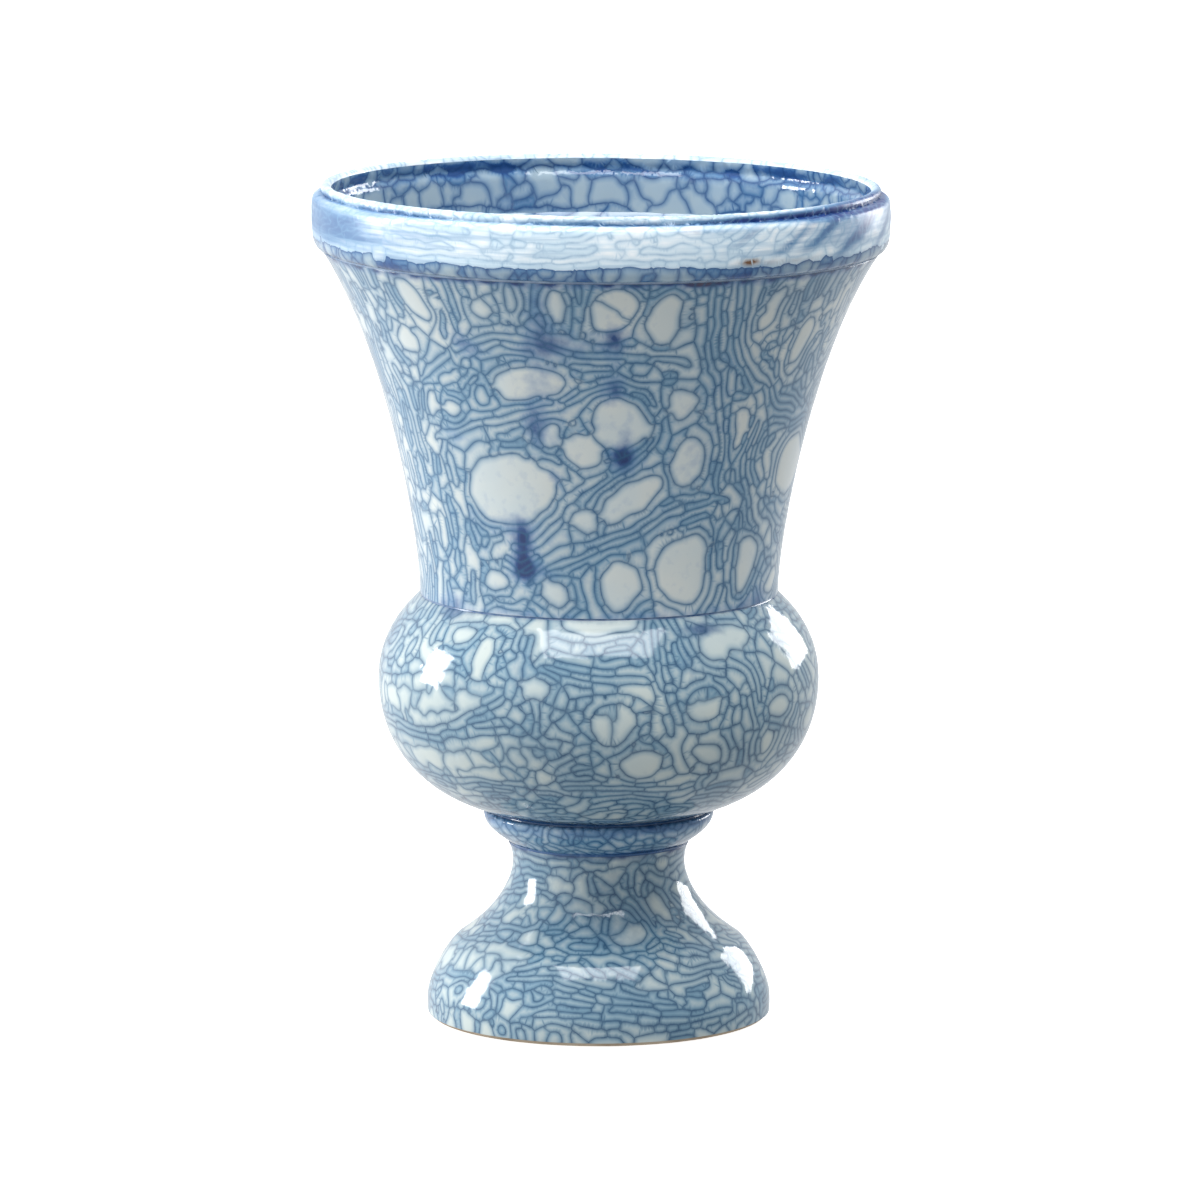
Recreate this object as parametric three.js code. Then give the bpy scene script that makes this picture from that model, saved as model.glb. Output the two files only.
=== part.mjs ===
// Footed vase: a campana urn in crackle-glazed stoneware with a flared neck,
// a round bowl, a ring moulding and a hollow pedestal foot.
// It is thrown in six clay sections. Each lower section carries an upright spigot,
// the section above has a rebate that drops over it, and a bed of slip lutes the two.
// Units are millimetres, +Z is up, and the origin is the centre of the foot's underside.
// A profile is a list of [radius, height] points in the half plane beside the axis.

import * as THREE from 'three';

// Foot ring
const FOOT_RADIUS = 62.7;
const FOOT_RING_HEIGHT = 6;
const FOOT_EDGE_ROUND = 2.4;

// Pedestal foot: a dome, a sweep in to the stem and a short flare out again
const FOOT_WALL = 6.5;
const DOME_HEIGHT = 22.2;
const SWEEP_HEIGHT = 28.2;
const FLARE_HEIGHT = 6.8;
const STEM_RADIUS = 31.4;
const STEM_FLARE = 1.5;

// Ring moulding between the foot and the bowl
const COLLAR_RADIUS = 42;
const COLLAR_HEIGHT = 11.4;
const COLLAR_ROUND = 1;
const COLLAR_LEDGE = 3.4;

// Bowl: a belly up to its widest circle, and a shoulder in to the waist
const BOWL_RADIUS = 80.2;
const BELLY_HEIGHT = 48.3;
const SHOULDER_HEIGHT = 30.7;
const BOWL_WALL = 6;
const BOWL_FLOOR = 9;
const BOWL_FLOOR_RADIUS = 32;

// Neck
const WAIST_RADIUS = 65.1;
const NECK_HEIGHT = 124.6;
const NECK_TOP_RADIUS = 100.7;
const NECK_WALL = 5.6;

// Rim: a barrel-shaped band with a step and a thin lip on top, and a groove inside
const RIM_HEIGHT = 23.1;
const RIM_OVERHANG = 4.3;
const RIM_CORNER = 3.6;
const RIM_SHOULDER = 2.2;
const RIM_BARREL = 0.8;
const LIP_SET_IN = 3.8;
const LIP_WIDTH = 3.6;
const LIP_HEIGHT = 3.2;
const LIP_STEP = 0.6;
const RIM_GROOVE_DEPTH = 0.8;
const RIM_GROOVE_WIDTH = 5;

// Luted joints
const SLIP_BED = 0.8;
const SLIP_SET_BACK = 0.7;
const SPIGOT_HEIGHT = 2.4;
const REGISTER_GAP = 0.4;

// How much of the wall at a joint stands up as the spigot
const SPIGOT_SHARE = 0.35;

// How full the curves are: each is the length of a handle as a share of the curve's own span
const DOME_SHARE = 0.64;
const DOME_RISE = 0.3;
const DOME_RUN = 0.34;
const DOME_SLOPE = 0.117;
const SWEEP_RUN = 0.77;
const SWEEP_SLOPE = 0.363;
const SWEEP_RISE = 0.23;
const FLARE_RISE = 0.6;
const OVOLO_RUN = 0.5;
const OVOLO_SLOPE = 0.3;
const OVOLO_RISE = 0.4;
const BELLY_RUN = 0.43;
const BELLY_SLOPE = 0.062;
const BELLY_RISE = 0.644;
const SHOULDER_RISE = 0.51;
const SHOULDER_RUN = 0.38;
const SHOULDER_SLOPE = 0.17;
const NECK_RISE = 0.136;
const NECK_RUN = 0.69;
const NECK_SLOPE = 0.304;
const FACE_RISE = 0.35;

// Facets around the axis, and steps along one curve of a profile
const FACETS = 48;
const CURVE_STEPS = 8;
const ROUND_STEPS = 4;

// Where each section starts; a bed of slip lies under all but the lowest
const FOOT_HEIGHT = DOME_HEIGHT + SWEEP_HEIGHT + FLARE_HEIGHT;
const BOWL_HEIGHT = BELLY_HEIGHT + SHOULDER_HEIGHT;
const FOOT_BASE = FOOT_RING_HEIGHT + SLIP_BED;
const COLLAR_BASE = FOOT_BASE + FOOT_HEIGHT + SLIP_BED;
const BOWL_BASE = COLLAR_BASE + COLLAR_HEIGHT + SLIP_BED;
const NECK_BASE = BOWL_BASE + BOWL_HEIGHT + SLIP_BED;
const RIM_BASE = NECK_BASE + NECK_HEIGHT + SLIP_BED;
const TOP = RIM_BASE + RIM_HEIGHT;

// Radii where one section meets the next
const STEM_TOP_RADIUS = STEM_RADIUS + STEM_FLARE;
const BOWL_BED_RADIUS = COLLAR_RADIUS - COLLAR_LEDGE;
const RIM_RADIUS = NECK_TOP_RADIUS + RIM_OVERHANG;
const LIP_RADIUS = RIM_RADIUS - LIP_SET_IN;

// Points of a cubic curve, each handle given as an offset from its own end
function curve(start, leave, arrive, end, steps = CURVE_STEPS) {
  const bend = new THREE.CubicBezierCurve(
    new THREE.Vector2(...start),
    new THREE.Vector2(start[0] + leave[0], start[1] + leave[1]),
    new THREE.Vector2(end[0] + arrive[0], end[1] + arrive[1]),
    new THREE.Vector2(...end),
  );
  return bend.getPoints(steps).map((point) => [point.x, point.y]);
}

// A quarter round between two points, leaving the first one along the height or the radius
function quarterRound(start, end, leavesUpright) {
  const points = [];
  for (let step = 0; step <= ROUND_STEPS; step += 1) {
    const angle = (step / ROUND_STEPS) * (Math.PI / 2);
    const early = 1 - Math.cos(angle);
    const late = Math.sin(angle);
    const across = leavesUpright ? early : late;
    const along = leavesUpright ? late : early;
    points.push([
      start[0] + (end[0] - start[0]) * across,
      start[1] + (end[1] - start[1]) * along,
    ]);
  }
  return points;
}

// The inner face of a wall: each point of its outer face moved in square to that face
function inset(outer, wall) {
  return outer.map((point, index) => {
    const before = outer[Math.max(index - 1, 0)];
    const after = outer[Math.min(index + 1, outer.length - 1)];
    const run = Math.hypot(after[0] - before[0], after[1] - before[1]);
    return [
      point[0] - (wall * (after[1] - before[1])) / run,
      point[1] + (wall * (after[0] - before[0])) / run,
    ];
  });
}

// The points of an inner face that lie clear of both ends of the wall
function between(points, low, high) {
  return points.filter((point) => point[1] > low && point[1] < high);
}

// Neck: a long trumpet that opens from the waist to the rim
function neckOuter() {
  const widening = NECK_TOP_RADIUS - WAIST_RADIUS;
  return curve(
    [WAIST_RADIUS, NECK_BASE],
    [0, NECK_RISE * NECK_HEIGHT],
    [-NECK_RUN * widening, -NECK_SLOPE * NECK_HEIGHT],
    [NECK_TOP_RADIUS, NECK_BASE + NECK_HEIGHT],
    CURVE_STEPS + ROUND_STEPS,
  );
}

// A luted joint: the lower section ends in a bed at this height with a spigot beside the bore,
// and the upper section starts above the slip with a rebate that clears the spigot
function joint(bore, outside, base) {
  const bed = base - SLIP_BED;
  const spigot = bore + SPIGOT_SHARE * (outside - bore);
  return {
    bore,
    outside,
    base,
    bed,
    spigot,
    spigotTop: bed + SPIGOT_HEIGHT,
    rebate: spigot + REGISTER_GAP,
    rebateTop: bed + SPIGOT_HEIGHT + REGISTER_GAP,
  };
}

const FOOT_JOINT = joint(FOOT_RADIUS - FOOT_WALL, FOOT_RADIUS, FOOT_BASE);
const STEM_JOINT = joint(STEM_RADIUS - FOOT_WALL, STEM_TOP_RADIUS, COLLAR_BASE);
const COLLAR_JOINT = joint(STEM_RADIUS - FOOT_WALL, BOWL_BED_RADIUS, BOWL_BASE);
const WAIST_JOINT = joint(WAIST_RADIUS - NECK_WALL, WAIST_RADIUS, NECK_BASE);
const RIM_JOINT = joint(inset(neckOuter(), NECK_WALL).at(-1)[0], NECK_TOP_RADIUS, RIM_BASE);

// Upper edge of a section, from its outer corner to its bore
function bedWithSpigot(seam, outerRadius = seam.outside) {
  return [
    [outerRadius, seam.bed],
    [seam.spigot, seam.bed],
    [seam.spigot, seam.spigotTop],
    [seam.bore, seam.spigotTop],
  ];
}

// Lower edge of a section, from its bore to its outer corner
function bedWithRebate(seam, innerRadius = seam.bore, outerRadius = seam.outside) {
  return [
    [innerRadius, seam.rebateTop],
    [seam.rebate, seam.rebateTop],
    [seam.rebate, seam.base],
    [outerRadius, seam.base],
  ];
}

// Foot ring: the thickened edge that the vase stands on, wiped clean of glaze
function footRingProfile() {
  const flat = FOOT_RADIUS - FOOT_EDGE_ROUND;
  return [
    [FOOT_JOINT.bore, 0],
    ...quarterRound([flat, 0], [FOOT_RADIUS, FOOT_EDGE_ROUND], false),
    ...bedWithSpigot(FOOT_JOINT),
  ];
}

// Pedestal foot: a hollow dome that runs in an ogee up to a narrow stem
function footProfile() {
  const domeWidth = (1 - DOME_SHARE) * (FOOT_RADIUS - STEM_RADIUS);
  const shoulder = [FOOT_RADIUS - domeWidth, FOOT_BASE + DOME_HEIGHT];
  const stem = [STEM_RADIUS, FOOT_BASE + DOME_HEIGHT + SWEEP_HEIGHT];
  const top = FOOT_BASE + FOOT_HEIGHT;
  const dome = curve(
    [FOOT_RADIUS, FOOT_BASE],
    [0, DOME_RISE * DOME_HEIGHT],
    [DOME_RUN * domeWidth, -DOME_SLOPE * DOME_HEIGHT],
    shoulder,
  );
  const sweep = curve(
    shoulder,
    [-SWEEP_RUN * (shoulder[0] - STEM_RADIUS), SWEEP_SLOPE * SWEEP_HEIGHT],
    [0, -SWEEP_RISE * SWEEP_HEIGHT],
    stem,
  );
  const flare = curve(stem, [0, FLARE_RISE * FLARE_HEIGHT], [0, 0], [STEM_TOP_RADIUS, top], ROUND_STEPS);
  const outer = [...dome, ...sweep.slice(1)];
  const inner = between(inset(outer, FOOT_WALL), FOOT_JOINT.rebateTop, stem[1]);
  return [
    ...bedWithRebate(FOOT_JOINT, inner[0][0]),
    ...outer.slice(1),
    ...flare.slice(1, -1),
    ...bedWithSpigot(STEM_JOINT),
    [STEM_JOINT.bore, stem[1]],
    ...inner.reverse(),
  ];
}

// Ring moulding: an ovolo under a narrow ledge, where the glaze pools
function collarProfile() {
  const top = COLLAR_BASE + COLLAR_HEIGHT;
  const corner = [COLLAR_RADIUS, top - COLLAR_ROUND];
  const ledgeEdge = COLLAR_RADIUS - COLLAR_ROUND;
  const width = COLLAR_RADIUS - STEM_TOP_RADIUS;
  const rise = COLLAR_HEIGHT - COLLAR_ROUND;
  const ovolo = curve(
    [STEM_TOP_RADIUS, COLLAR_BASE],
    [OVOLO_RUN * width, OVOLO_SLOPE * rise],
    [0, -OVOLO_RISE * rise],
    corner,
  );
  return [
    ...bedWithRebate(STEM_JOINT),
    ...ovolo.slice(1),
    ...quarterRound(corner, [ledgeEdge, top], true).slice(1, -1),
    ...bedWithSpigot(COLLAR_JOINT, ledgeEdge),
  ];
}

// Bowl: the round body with a closed floor, flat inside, and a shoulder up to the waist
function bowlProfile() {
  const top = BOWL_BASE + BOWL_HEIGHT;
  const widest = [BOWL_RADIUS, BOWL_BASE + BELLY_HEIGHT];
  const floor = BOWL_BASE + BOWL_FLOOR;
  const bellyWidth = BOWL_RADIUS - BOWL_BED_RADIUS;
  const shoulderWidth = BOWL_RADIUS - WAIST_RADIUS;
  const belly = curve(
    [BOWL_BED_RADIUS, BOWL_BASE],
    [BELLY_RUN * bellyWidth, BELLY_SLOPE * BELLY_HEIGHT],
    [0, -BELLY_RISE * BELLY_HEIGHT],
    widest,
    CURVE_STEPS + ROUND_STEPS,
  );
  const shoulder = curve(
    widest,
    [0, SHOULDER_RISE * SHOULDER_HEIGHT],
    [SHOULDER_RUN * shoulderWidth, -SHOULDER_SLOPE * SHOULDER_HEIGHT],
    [WAIST_RADIUS, top],
  );
  const outer = [...belly, ...shoulder.slice(1)];
  const inner = between(inset(outer, BOWL_WALL), floor, top);
  const clear = inner.filter((point) => point[0] > BOWL_FLOOR_RADIUS);
  return [
    ...bedWithRebate(COLLAR_JOINT, 0),
    ...outer.slice(1, -1),
    ...bedWithSpigot(WAIST_JOINT),
    ...clear.reverse(),
    [BOWL_FLOOR_RADIUS, floor],
    [0, floor],
  ];
}

function neckProfile() {
  const outer = neckOuter();
  const inner = between(inset(outer, NECK_WALL), WAIST_JOINT.rebateTop, RIM_JOINT.bed);
  return [
    ...bedWithRebate(WAIST_JOINT),
    ...outer.slice(1, -1),
    ...bedWithSpigot(RIM_JOINT),
    ...inner.reverse(),
  ];
}

// Rim: a heavy rolled band with a thin lip on top and a shallow groove under it inside
function rimProfile() {
  const faceRadius = RIM_RADIUS - 0.75 * RIM_BARREL;
  const faceBase = RIM_BASE + RIM_CORNER;
  const faceTop = TOP - LIP_HEIGHT - RIM_SHOULDER;
  const underside = [faceRadius - RIM_CORNER, RIM_BASE];
  const face = curve(
    [faceRadius, faceBase],
    [RIM_BARREL, FACE_RISE * (faceTop - faceBase)],
    [RIM_BARREL, -FACE_RISE * (faceTop - faceBase)],
    [faceRadius, faceTop],
    ROUND_STEPS,
  );
  const lipInside = LIP_RADIUS - LIP_WIDTH;
  const lipTop = [LIP_RADIUS - LIP_WIDTH / 2, TOP];
  const grooveTop = [lipInside, TOP - LIP_HEIGHT];
  const grooveFloor = [lipInside + RIM_GROOVE_DEPTH, TOP - LIP_HEIGHT - RIM_GROOVE_WIDTH / 2];
  const grooveEnd = [lipInside - RIM_GROOVE_DEPTH, TOP - LIP_HEIGHT - RIM_GROOVE_WIDTH];
  return [
    ...bedWithRebate(RIM_JOINT, RIM_JOINT.bore, underside[0]),
    ...quarterRound(underside, [faceRadius, faceBase], false).slice(1),
    ...face.slice(1),
    ...quarterRound(face.at(-1), [LIP_RADIUS - LIP_STEP, TOP - LIP_HEIGHT], true).slice(1),
    ...quarterRound([LIP_RADIUS, TOP - LIP_HEIGHT / 2], lipTop, true),
    ...quarterRound(lipTop, [lipInside, TOP - LIP_HEIGHT / 2], false).slice(1),
    grooveTop,
    grooveFloor,
    grooveEnd,
  ];
}

// A bed of slip between two sections, set back from the outside of the joint
function slipProfile(seam) {
  const outside = seam.outside - SLIP_SET_BACK;
  return [
    [seam.rebate, seam.bed],
    [outside, seam.bed],
    [outside, seam.base],
    [seam.rebate, seam.base],
  ];
}

// Glaze and clay colours of the pieces
const GLAZE = { color: 0xb4bfc2, roughness: 0.12, metalness: 0 };
const POOLED_GLAZE = { color: 0x7f9bb4, roughness: 0.12, metalness: 0 };
const BARE_CLAY = { color: 0xb39a7d, roughness: 0.85, metalness: 0 };
const SLIP = { color: 0x4f6f95, roughness: 0.4, metalness: 0 };

const vase = new THREE.Group();

// Turns a profile once around +Z and adds it to the vase under its name
function turn(name, profile, finish) {
  const closed = profile[0][0] === 0 ? profile : [...profile, profile[0]];
  const points = closed.map((point) => new THREE.Vector2(...point));
  const geometry = new THREE.LatheGeometry(points, FACETS);
  geometry.rotateX(Math.PI / 2);
  const mesh = new THREE.Mesh(geometry, new THREE.MeshStandardMaterial(finish));
  mesh.name = name;
  vase.add(mesh);
}

turn('foot_ring', footRingProfile(), BARE_CLAY);
turn('foot_slip', slipProfile(FOOT_JOINT), SLIP);
turn('pedestal_foot', footProfile(), GLAZE);
turn('stem_slip', slipProfile(STEM_JOINT), SLIP);
turn('stem_collar', collarProfile(), POOLED_GLAZE);
turn('collar_slip', slipProfile(COLLAR_JOINT), SLIP);
turn('bowl', bowlProfile(), GLAZE);
turn('waist_slip', slipProfile(WAIST_JOINT), SLIP);
turn('flared_neck', neckProfile(), GLAZE);
turn('rim_slip', slipProfile(RIM_JOINT), SLIP);
turn('rim_band', rimProfile(), POOLED_GLAZE);

export default vase;
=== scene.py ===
import math

import bpy
import numpy as np
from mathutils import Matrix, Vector
from mathutils.geometry import delaunay_2d_cdt
from mathutils.kdtree import KDTree


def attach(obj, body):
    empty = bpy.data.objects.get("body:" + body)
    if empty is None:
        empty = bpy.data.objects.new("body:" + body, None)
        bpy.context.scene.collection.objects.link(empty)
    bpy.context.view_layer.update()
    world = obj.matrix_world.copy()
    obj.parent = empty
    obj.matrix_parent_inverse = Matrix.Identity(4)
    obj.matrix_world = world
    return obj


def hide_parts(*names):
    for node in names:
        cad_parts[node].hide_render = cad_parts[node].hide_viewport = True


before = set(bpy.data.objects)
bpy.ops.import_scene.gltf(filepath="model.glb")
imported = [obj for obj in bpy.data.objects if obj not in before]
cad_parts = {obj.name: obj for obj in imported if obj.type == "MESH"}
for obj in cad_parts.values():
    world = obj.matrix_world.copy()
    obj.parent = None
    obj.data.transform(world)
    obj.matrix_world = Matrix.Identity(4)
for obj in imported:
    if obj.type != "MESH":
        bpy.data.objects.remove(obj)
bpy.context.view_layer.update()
MM = 0.001


# FOOT RING
# The edge that the vase stands on: a thickened ring of buff stoneware, thrown with the foot.
# It is wiped clean of glaze before firing, so that it doesn't stick to the kiln shelf.

def linear(code):
    """An sRGB hex colour as linear RGBA."""
    parts = [int(code[i:i + 2], 16) / 255 for i in (1, 3, 5)]
    return [c / 12.92 if c <= 0.04045 else ((c + 0.055) / 1.055) ** 2.4 for c in parts] + [1.0]


def add_node(tree, kind, *values, out=0, stops=(), **settings):
    """Adds a node and returns one of its outputs. The values go to its inputs in their order: numbers, hex
    colours, names or outputs of other nodes, and None leaves one as it is. Stops are a ramp's colours."""
    node = tree.nodes.new(kind)
    for key, value in settings.items():
        setattr(node, key, value)
    for n, (place, code) in enumerate(stops):
        if n > 1:
            node.color_ramp.elements.new(place)
        node.color_ramp.elements[n].position = place
        node.color_ramp.elements[n].color = linear(code)
    for socket, value in zip([s for s in node.inputs if s.enabled], values):
        if isinstance(value, bpy.types.NodeSocket):
            tree.links.new(value, socket)
        elif value is not None:
            socket.default_value = linear(value) if str(value).startswith("#") else value
    return node.outputs[out] if isinstance(out, str) else [s for s in node.outputs if s.enabled][out]


def curve(start, leave, arrive, end, steps):
    """Points of a cubic curve, each handle given as an offset from its own end, in mm."""
    start, end = np.array(start, float), np.array(end, float)
    first, second = start + leave, end + arrive
    t = np.linspace(0, 1, steps + 1)[:, None]
    return start * (1 - t) ** 3 + 3 * first * t * (1 - t) ** 2 + 3 * second * t * t * (1 - t) + end * t ** 3


def round_off(start, end, upright, steps=6):
    """A quarter round between two points that leaves the first one upright or level."""
    angle = np.linspace(0, math.pi / 2, steps + 1)
    early, late = 1 - np.cos(angle), np.sin(angle)
    across, along = (early, late) if upright else (late, early)
    return np.stack([start[0] + (end[0] - start[0]) * across,
                     start[1] + (end[1] - start[1]) * along], 1)


def path(*runs):
    """One profile out of several runs of points, without repeated points."""
    points = np.concatenate([np.atleast_2d(np.array(run, float)) for run in runs])
    keep = np.r_[True, np.hypot(*np.diff(points, axis=0).T) > 1e-6]
    return points[keep]


def facing(points):
    """The outward direction at each point of a profile that is walked up the outside."""
    step = np.gradient(points, axis=0)
    step /= np.maximum(np.hypot(step[:, 0], step[:, 1]), 1e-9)[:, None]
    return np.stack([step[:, 1], -step[:, 0]], 1)


# What every point of a net knows. Its coat is 0 for glaze, 1 for clay and -1 for the glaze inside
TURN_FIELDS = ("azimuth", "radius", "height", "out", "rise", "gap", "breadth", "tone", "blot", "iron", "coat")


def plain_run(points, coat=1, spokes=240, blot=0.0):
    """A band of even rings through the points of a profile."""
    points = np.array(points, float)
    rings = len(points)
    lean = facing(points) if rings > 1 else np.zeros_like(points)
    azimuth = np.arange(spokes) * 2 * math.pi / spokes
    level = {"gap": 0.0 if coat == 1 else 6.0, "breadth": 6.0, "tone": 0.5, "blot": blot, "iron": 0.0, "coat": coat}
    data = {key: np.full(rings * spokes, float(value)) for key, value in level.items()}
    data.update({
        "azimuth": np.tile(azimuth, rings),
        "radius": np.repeat(points[:, 0], spokes), "height": np.repeat(points[:, 1], spokes),
        "out": np.repeat(lean[:, 0], spokes), "rise": np.repeat(lean[:, 1], spokes),
    })
    faces = []
    for ring in range(rings - 1):
        for i in range(spokes):
            a, b = ring * spokes + i, ring * spokes + (i + 1) % spokes
            faces += [(a, b, b + spokes), (a, b + spokes, a + spokes)]
    return {"data": data, "faces": faces, "low": list(range(spokes)),
            "high": list(range((rings - 1) * spokes, rings * spokes))}


def stitch(low, low_azimuth, high, high_azimuth):
    """Triangles between two rings of points that are spaced differently."""
    faces, i, j = [], 0, 0
    lows, highs = list(low) + [low[0]], list(high) + [high[0]]
    low_at = np.r_[low_azimuth, low_azimuth[0] + 2 * math.pi]
    high_at = np.r_[high_azimuth, high_azimuth[0] + 2 * math.pi]
    while i < len(low) or j < len(high):
        if j == len(high) or (i < len(low) and low_at[i + 1] <= high_at[j + 1]):
            faces.append((lows[i], lows[i + 1], highs[j]))
            i += 1
        else:
            faces.append((lows[i], highs[j + 1], highs[j]))
            j += 1
    return faces


def turning_tree():
    """Geometry Nodes: wraps a flat net of clay and glaze round the axis, as a wheel turns it."""
    tree = bpy.data.node_groups.new("thrown_on_the_wheel", "GeometryNodeTree")
    tree.interface.new_socket("Net", in_out="INPUT", socket_type="NodeSocketGeometry")
    for label in ("Glaze swell", "Swell run", "Lean", "Lean from", "Tip", "Tip from", "Top"):
        tree.interface.new_socket(label, in_out="INPUT", socket_type="NodeSocketFloat")
    for label in ("Glaze", "Inside", "Clay"):
        tree.interface.new_socket(label, in_out="INPUT", socket_type="NodeSocketMaterial")
    tree.interface.new_socket("Turned", in_out="OUTPUT", socket_type="NodeSocketGeometry")
    given = tree.nodes.new("NodeGroupInput").outputs
    gap, radius, height, out, rise, azimuth, coat = (
        add_node(tree, "GeometryNodeInputNamedAttribute", name, data_type="FLOAT")
        for name in ("gap", "radius", "height", "out", "rise", "azimuth", "coat"))
    # The glaze swells between the cracks and draws back at them
    lift = add_node(tree, "ShaderNodeMapRange", gap, 0.0, given["Swell run"], 0.0, given["Glaze swell"],
                    interpolation_type="SMOOTHSTEP")
    radius = add_node(tree, "ShaderNodeMath", out, lift, radius, operation="MULTIPLY_ADD")
    height = add_node(tree, "ShaderNodeMath", rise, lift, height, operation="MULTIPLY_ADD")
    flat = add_node(tree, "ShaderNodeCombineXYZ", radius, 0.0, height)
    wound = add_node(tree, "ShaderNodeVectorRotate", flat, None, azimuth, rotation_type="Z_AXIS")
    # The upper part leans to the right, and the rim tips down to the right
    leaning = add_node(tree, "ShaderNodeMapRange", height, given["Lean from"], given["Top"], 0.0, given["Lean"])
    slope = add_node(tree, "ShaderNodeMapRange", height, given["Tip from"], given["Top"], 0.0, given["Tip"])
    across = add_node(tree, "ShaderNodeSeparateXYZ", wound)
    drop = add_node(tree, "ShaderNodeMath", across, slope, operation="MULTIPLY")
    down = add_node(tree, "ShaderNodeMath", drop, -1.0, operation="MULTIPLY")
    moved = add_node(tree, "ShaderNodeCombineXYZ", leaning, 0.0, down)
    turned = add_node(tree, "GeometryNodeSetPosition", given["Net"], None, wound, moved)
    smooth = add_node(tree, "GeometryNodeSetShadeSmooth", turned)
    real = add_node(tree, "GeometryNodeRealizeInstances", smooth)
    glazed = add_node(tree, "GeometryNodeSetMaterial", real, None, given["Glaze"])
    is_bare = add_node(tree, "FunctionNodeCompare", coat, 0.5, data_type="FLOAT", operation="GREATER_THAN")
    bared = add_node(tree, "GeometryNodeSetMaterial", glazed, is_bare, given["Clay"])
    is_inside = add_node(tree, "FunctionNodeCompare", coat, -0.5, data_type="FLOAT", operation="LESS_THAN")
    done = add_node(tree, "GeometryNodeSetMaterial", bared, is_inside, given["Inside"])
    tree.links.new(done, tree.nodes.new("NodeGroupOutput").inputs[0])
    return tree


TURNING = turning_tree()
# Joined by hand, the vase leans 0.9 mm to the right above the bowl, and its rim tips down to the right by
# 7 mm in a metre (in m)
LEANING = {"Lean": 0.0009, "Lean from": 0.13, "Tip": 0.007, "Tip from": 0.262, "Top": 0.29}


def turn(name, runs, glaze, clay, nodes, inside=None, poles=(None, None), swell=0.0001, swell_run=3.0):
    """Joins the runs of a profile into one closed shell, turns it round the axis, and puts it in the frame."""
    fields = {key: [] for key in TURN_FIELDS}
    faces, places, count = [], [], 0
    for run in runs:
        size = len(run["data"]["azimuth"])
        for key in TURN_FIELDS:
            fields[key].append(run["data"][key])
        faces += [tuple(i + count for i in f) for f in run["faces"]]
        places.append(([i + count for i in run["low"]], [i + count for i in run["high"]]))
        count += size
    fields = {key: np.concatenate(value) for key, value in fields.items()}
    pairs = [(places[i][1], places[i + 1][0]) for i in range(len(runs) - 1)]
    if poles[0] is None:
        pairs.append((places[-1][1], places[0][0]))
    for low, high in pairs:
        faces += stitch(low, fields["azimuth"][low], high, fields["azimuth"][high])
    for height, ring, upper in ((poles[0], places[0][0], False), (poles[1], places[-1][1], True)):
        if height is None:
            continue
        for key in TURN_FIELDS:
            fields[key] = np.r_[fields[key], fields[key][ring[0]]]
        fields["gap"][-1] = fields["radius"][ring[0]]
        fields["radius"][-1], fields["height"][-1], fields["out"][-1] = 0.0, height, 0.0
        for a, b in zip(ring, ring[1:] + ring[:1]):
            faces.append((a, b, count) if upper else (b, a, count))
        count += 1
    flat = bpy.data.meshes.new(name + "_flat")
    spot = np.stack([fields["azimuth"], fields["height"], fields["radius"]], 1)
    flat.from_pydata(spot.tolist(), [], faces)
    for key, value in fields.items():
        value = value * MM if key in ("radius", "height") else value
        flat.attributes.new(key, "FLOAT", "POINT").data.foreach_set("value", value.astype(np.float32))
    wheel = bpy.data.objects.new(name + "_wheel", flat)
    bpy.context.scene.collection.objects.link(wheel)
    modifier = wheel.modifiers.new("turning", "NODES")
    modifier.node_group = TURNING
    settings = {"Glaze swell": swell, "Swell run": swell_run, "Glaze": glaze, "Inside": inside or glaze,
                "Clay": clay, **LEANING}
    for item in TURNING.interface.items_tree:
        if item.in_out == "INPUT" and item.name in settings:
            modifier[item.identifier] = settings[item.name]
    ready = wheel.evaluated_get(bpy.context.evaluated_depsgraph_get())
    mesh = bpy.data.meshes.new_from_object(ready)
    mesh.name = name
    bpy.data.objects.remove(wheel)
    mesh.set_sharp_from_angle(angle=math.radians(50))
    piece = bpy.data.objects.new(name, mesh)
    bpy.context.scene.collection.objects.link(piece)
    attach(piece, "root")
    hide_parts(*nodes)
    print(name, len(mesh.vertices), "points", len(mesh.polygons), "faces", flush=True)
    return piece


def stoneware():
    """Bare stoneware, thrown and wiped with a wet sponge: matt, buff, speckled with iron."""
    finish = bpy.data.materials.new("wiped_buff_stoneware")
    finish.use_nodes = True
    tree = finish.node_tree
    shader = tree.nodes["Principled BSDF"]
    where = add_node(tree, "ShaderNodeTexCoord", out="Object")
    cloudy = add_node(tree, "ShaderNodeTexNoise", where, 90.0, 4.0)
    tree.links.new(add_node(tree, "ShaderNodeValToRGB", cloudy,
                            stops=((0.3, "#9a8670"), (0.55, "#b7a58e"), (0.8, "#c9bba6"))), shader.inputs["Base Color"])
    grit = add_node(tree, "ShaderNodeTexNoise", where, 1400.0, 3.0)
    tree.links.new(add_node(tree, "ShaderNodeBump", 0.35, 0.0002, None, grit), shader.inputs["Normal"])
    shader.inputs["Roughness"].default_value = 0.82
    shader.inputs["IOR"].default_value = 1.45
    return finish


CLAY = stoneware()
FOOT_RADIUS, RING_HEIGHT, EDGE_ROUND, FOOT_WALL = 62.7, 6.0, 2.4, 6.5
SLIP_BED, SPIGOT, EASE = 0.8, 2.4, 0.4
# The ring's own face lies this far under the glaze of the foot
UNDER_GLAZE = 0.3


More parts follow.
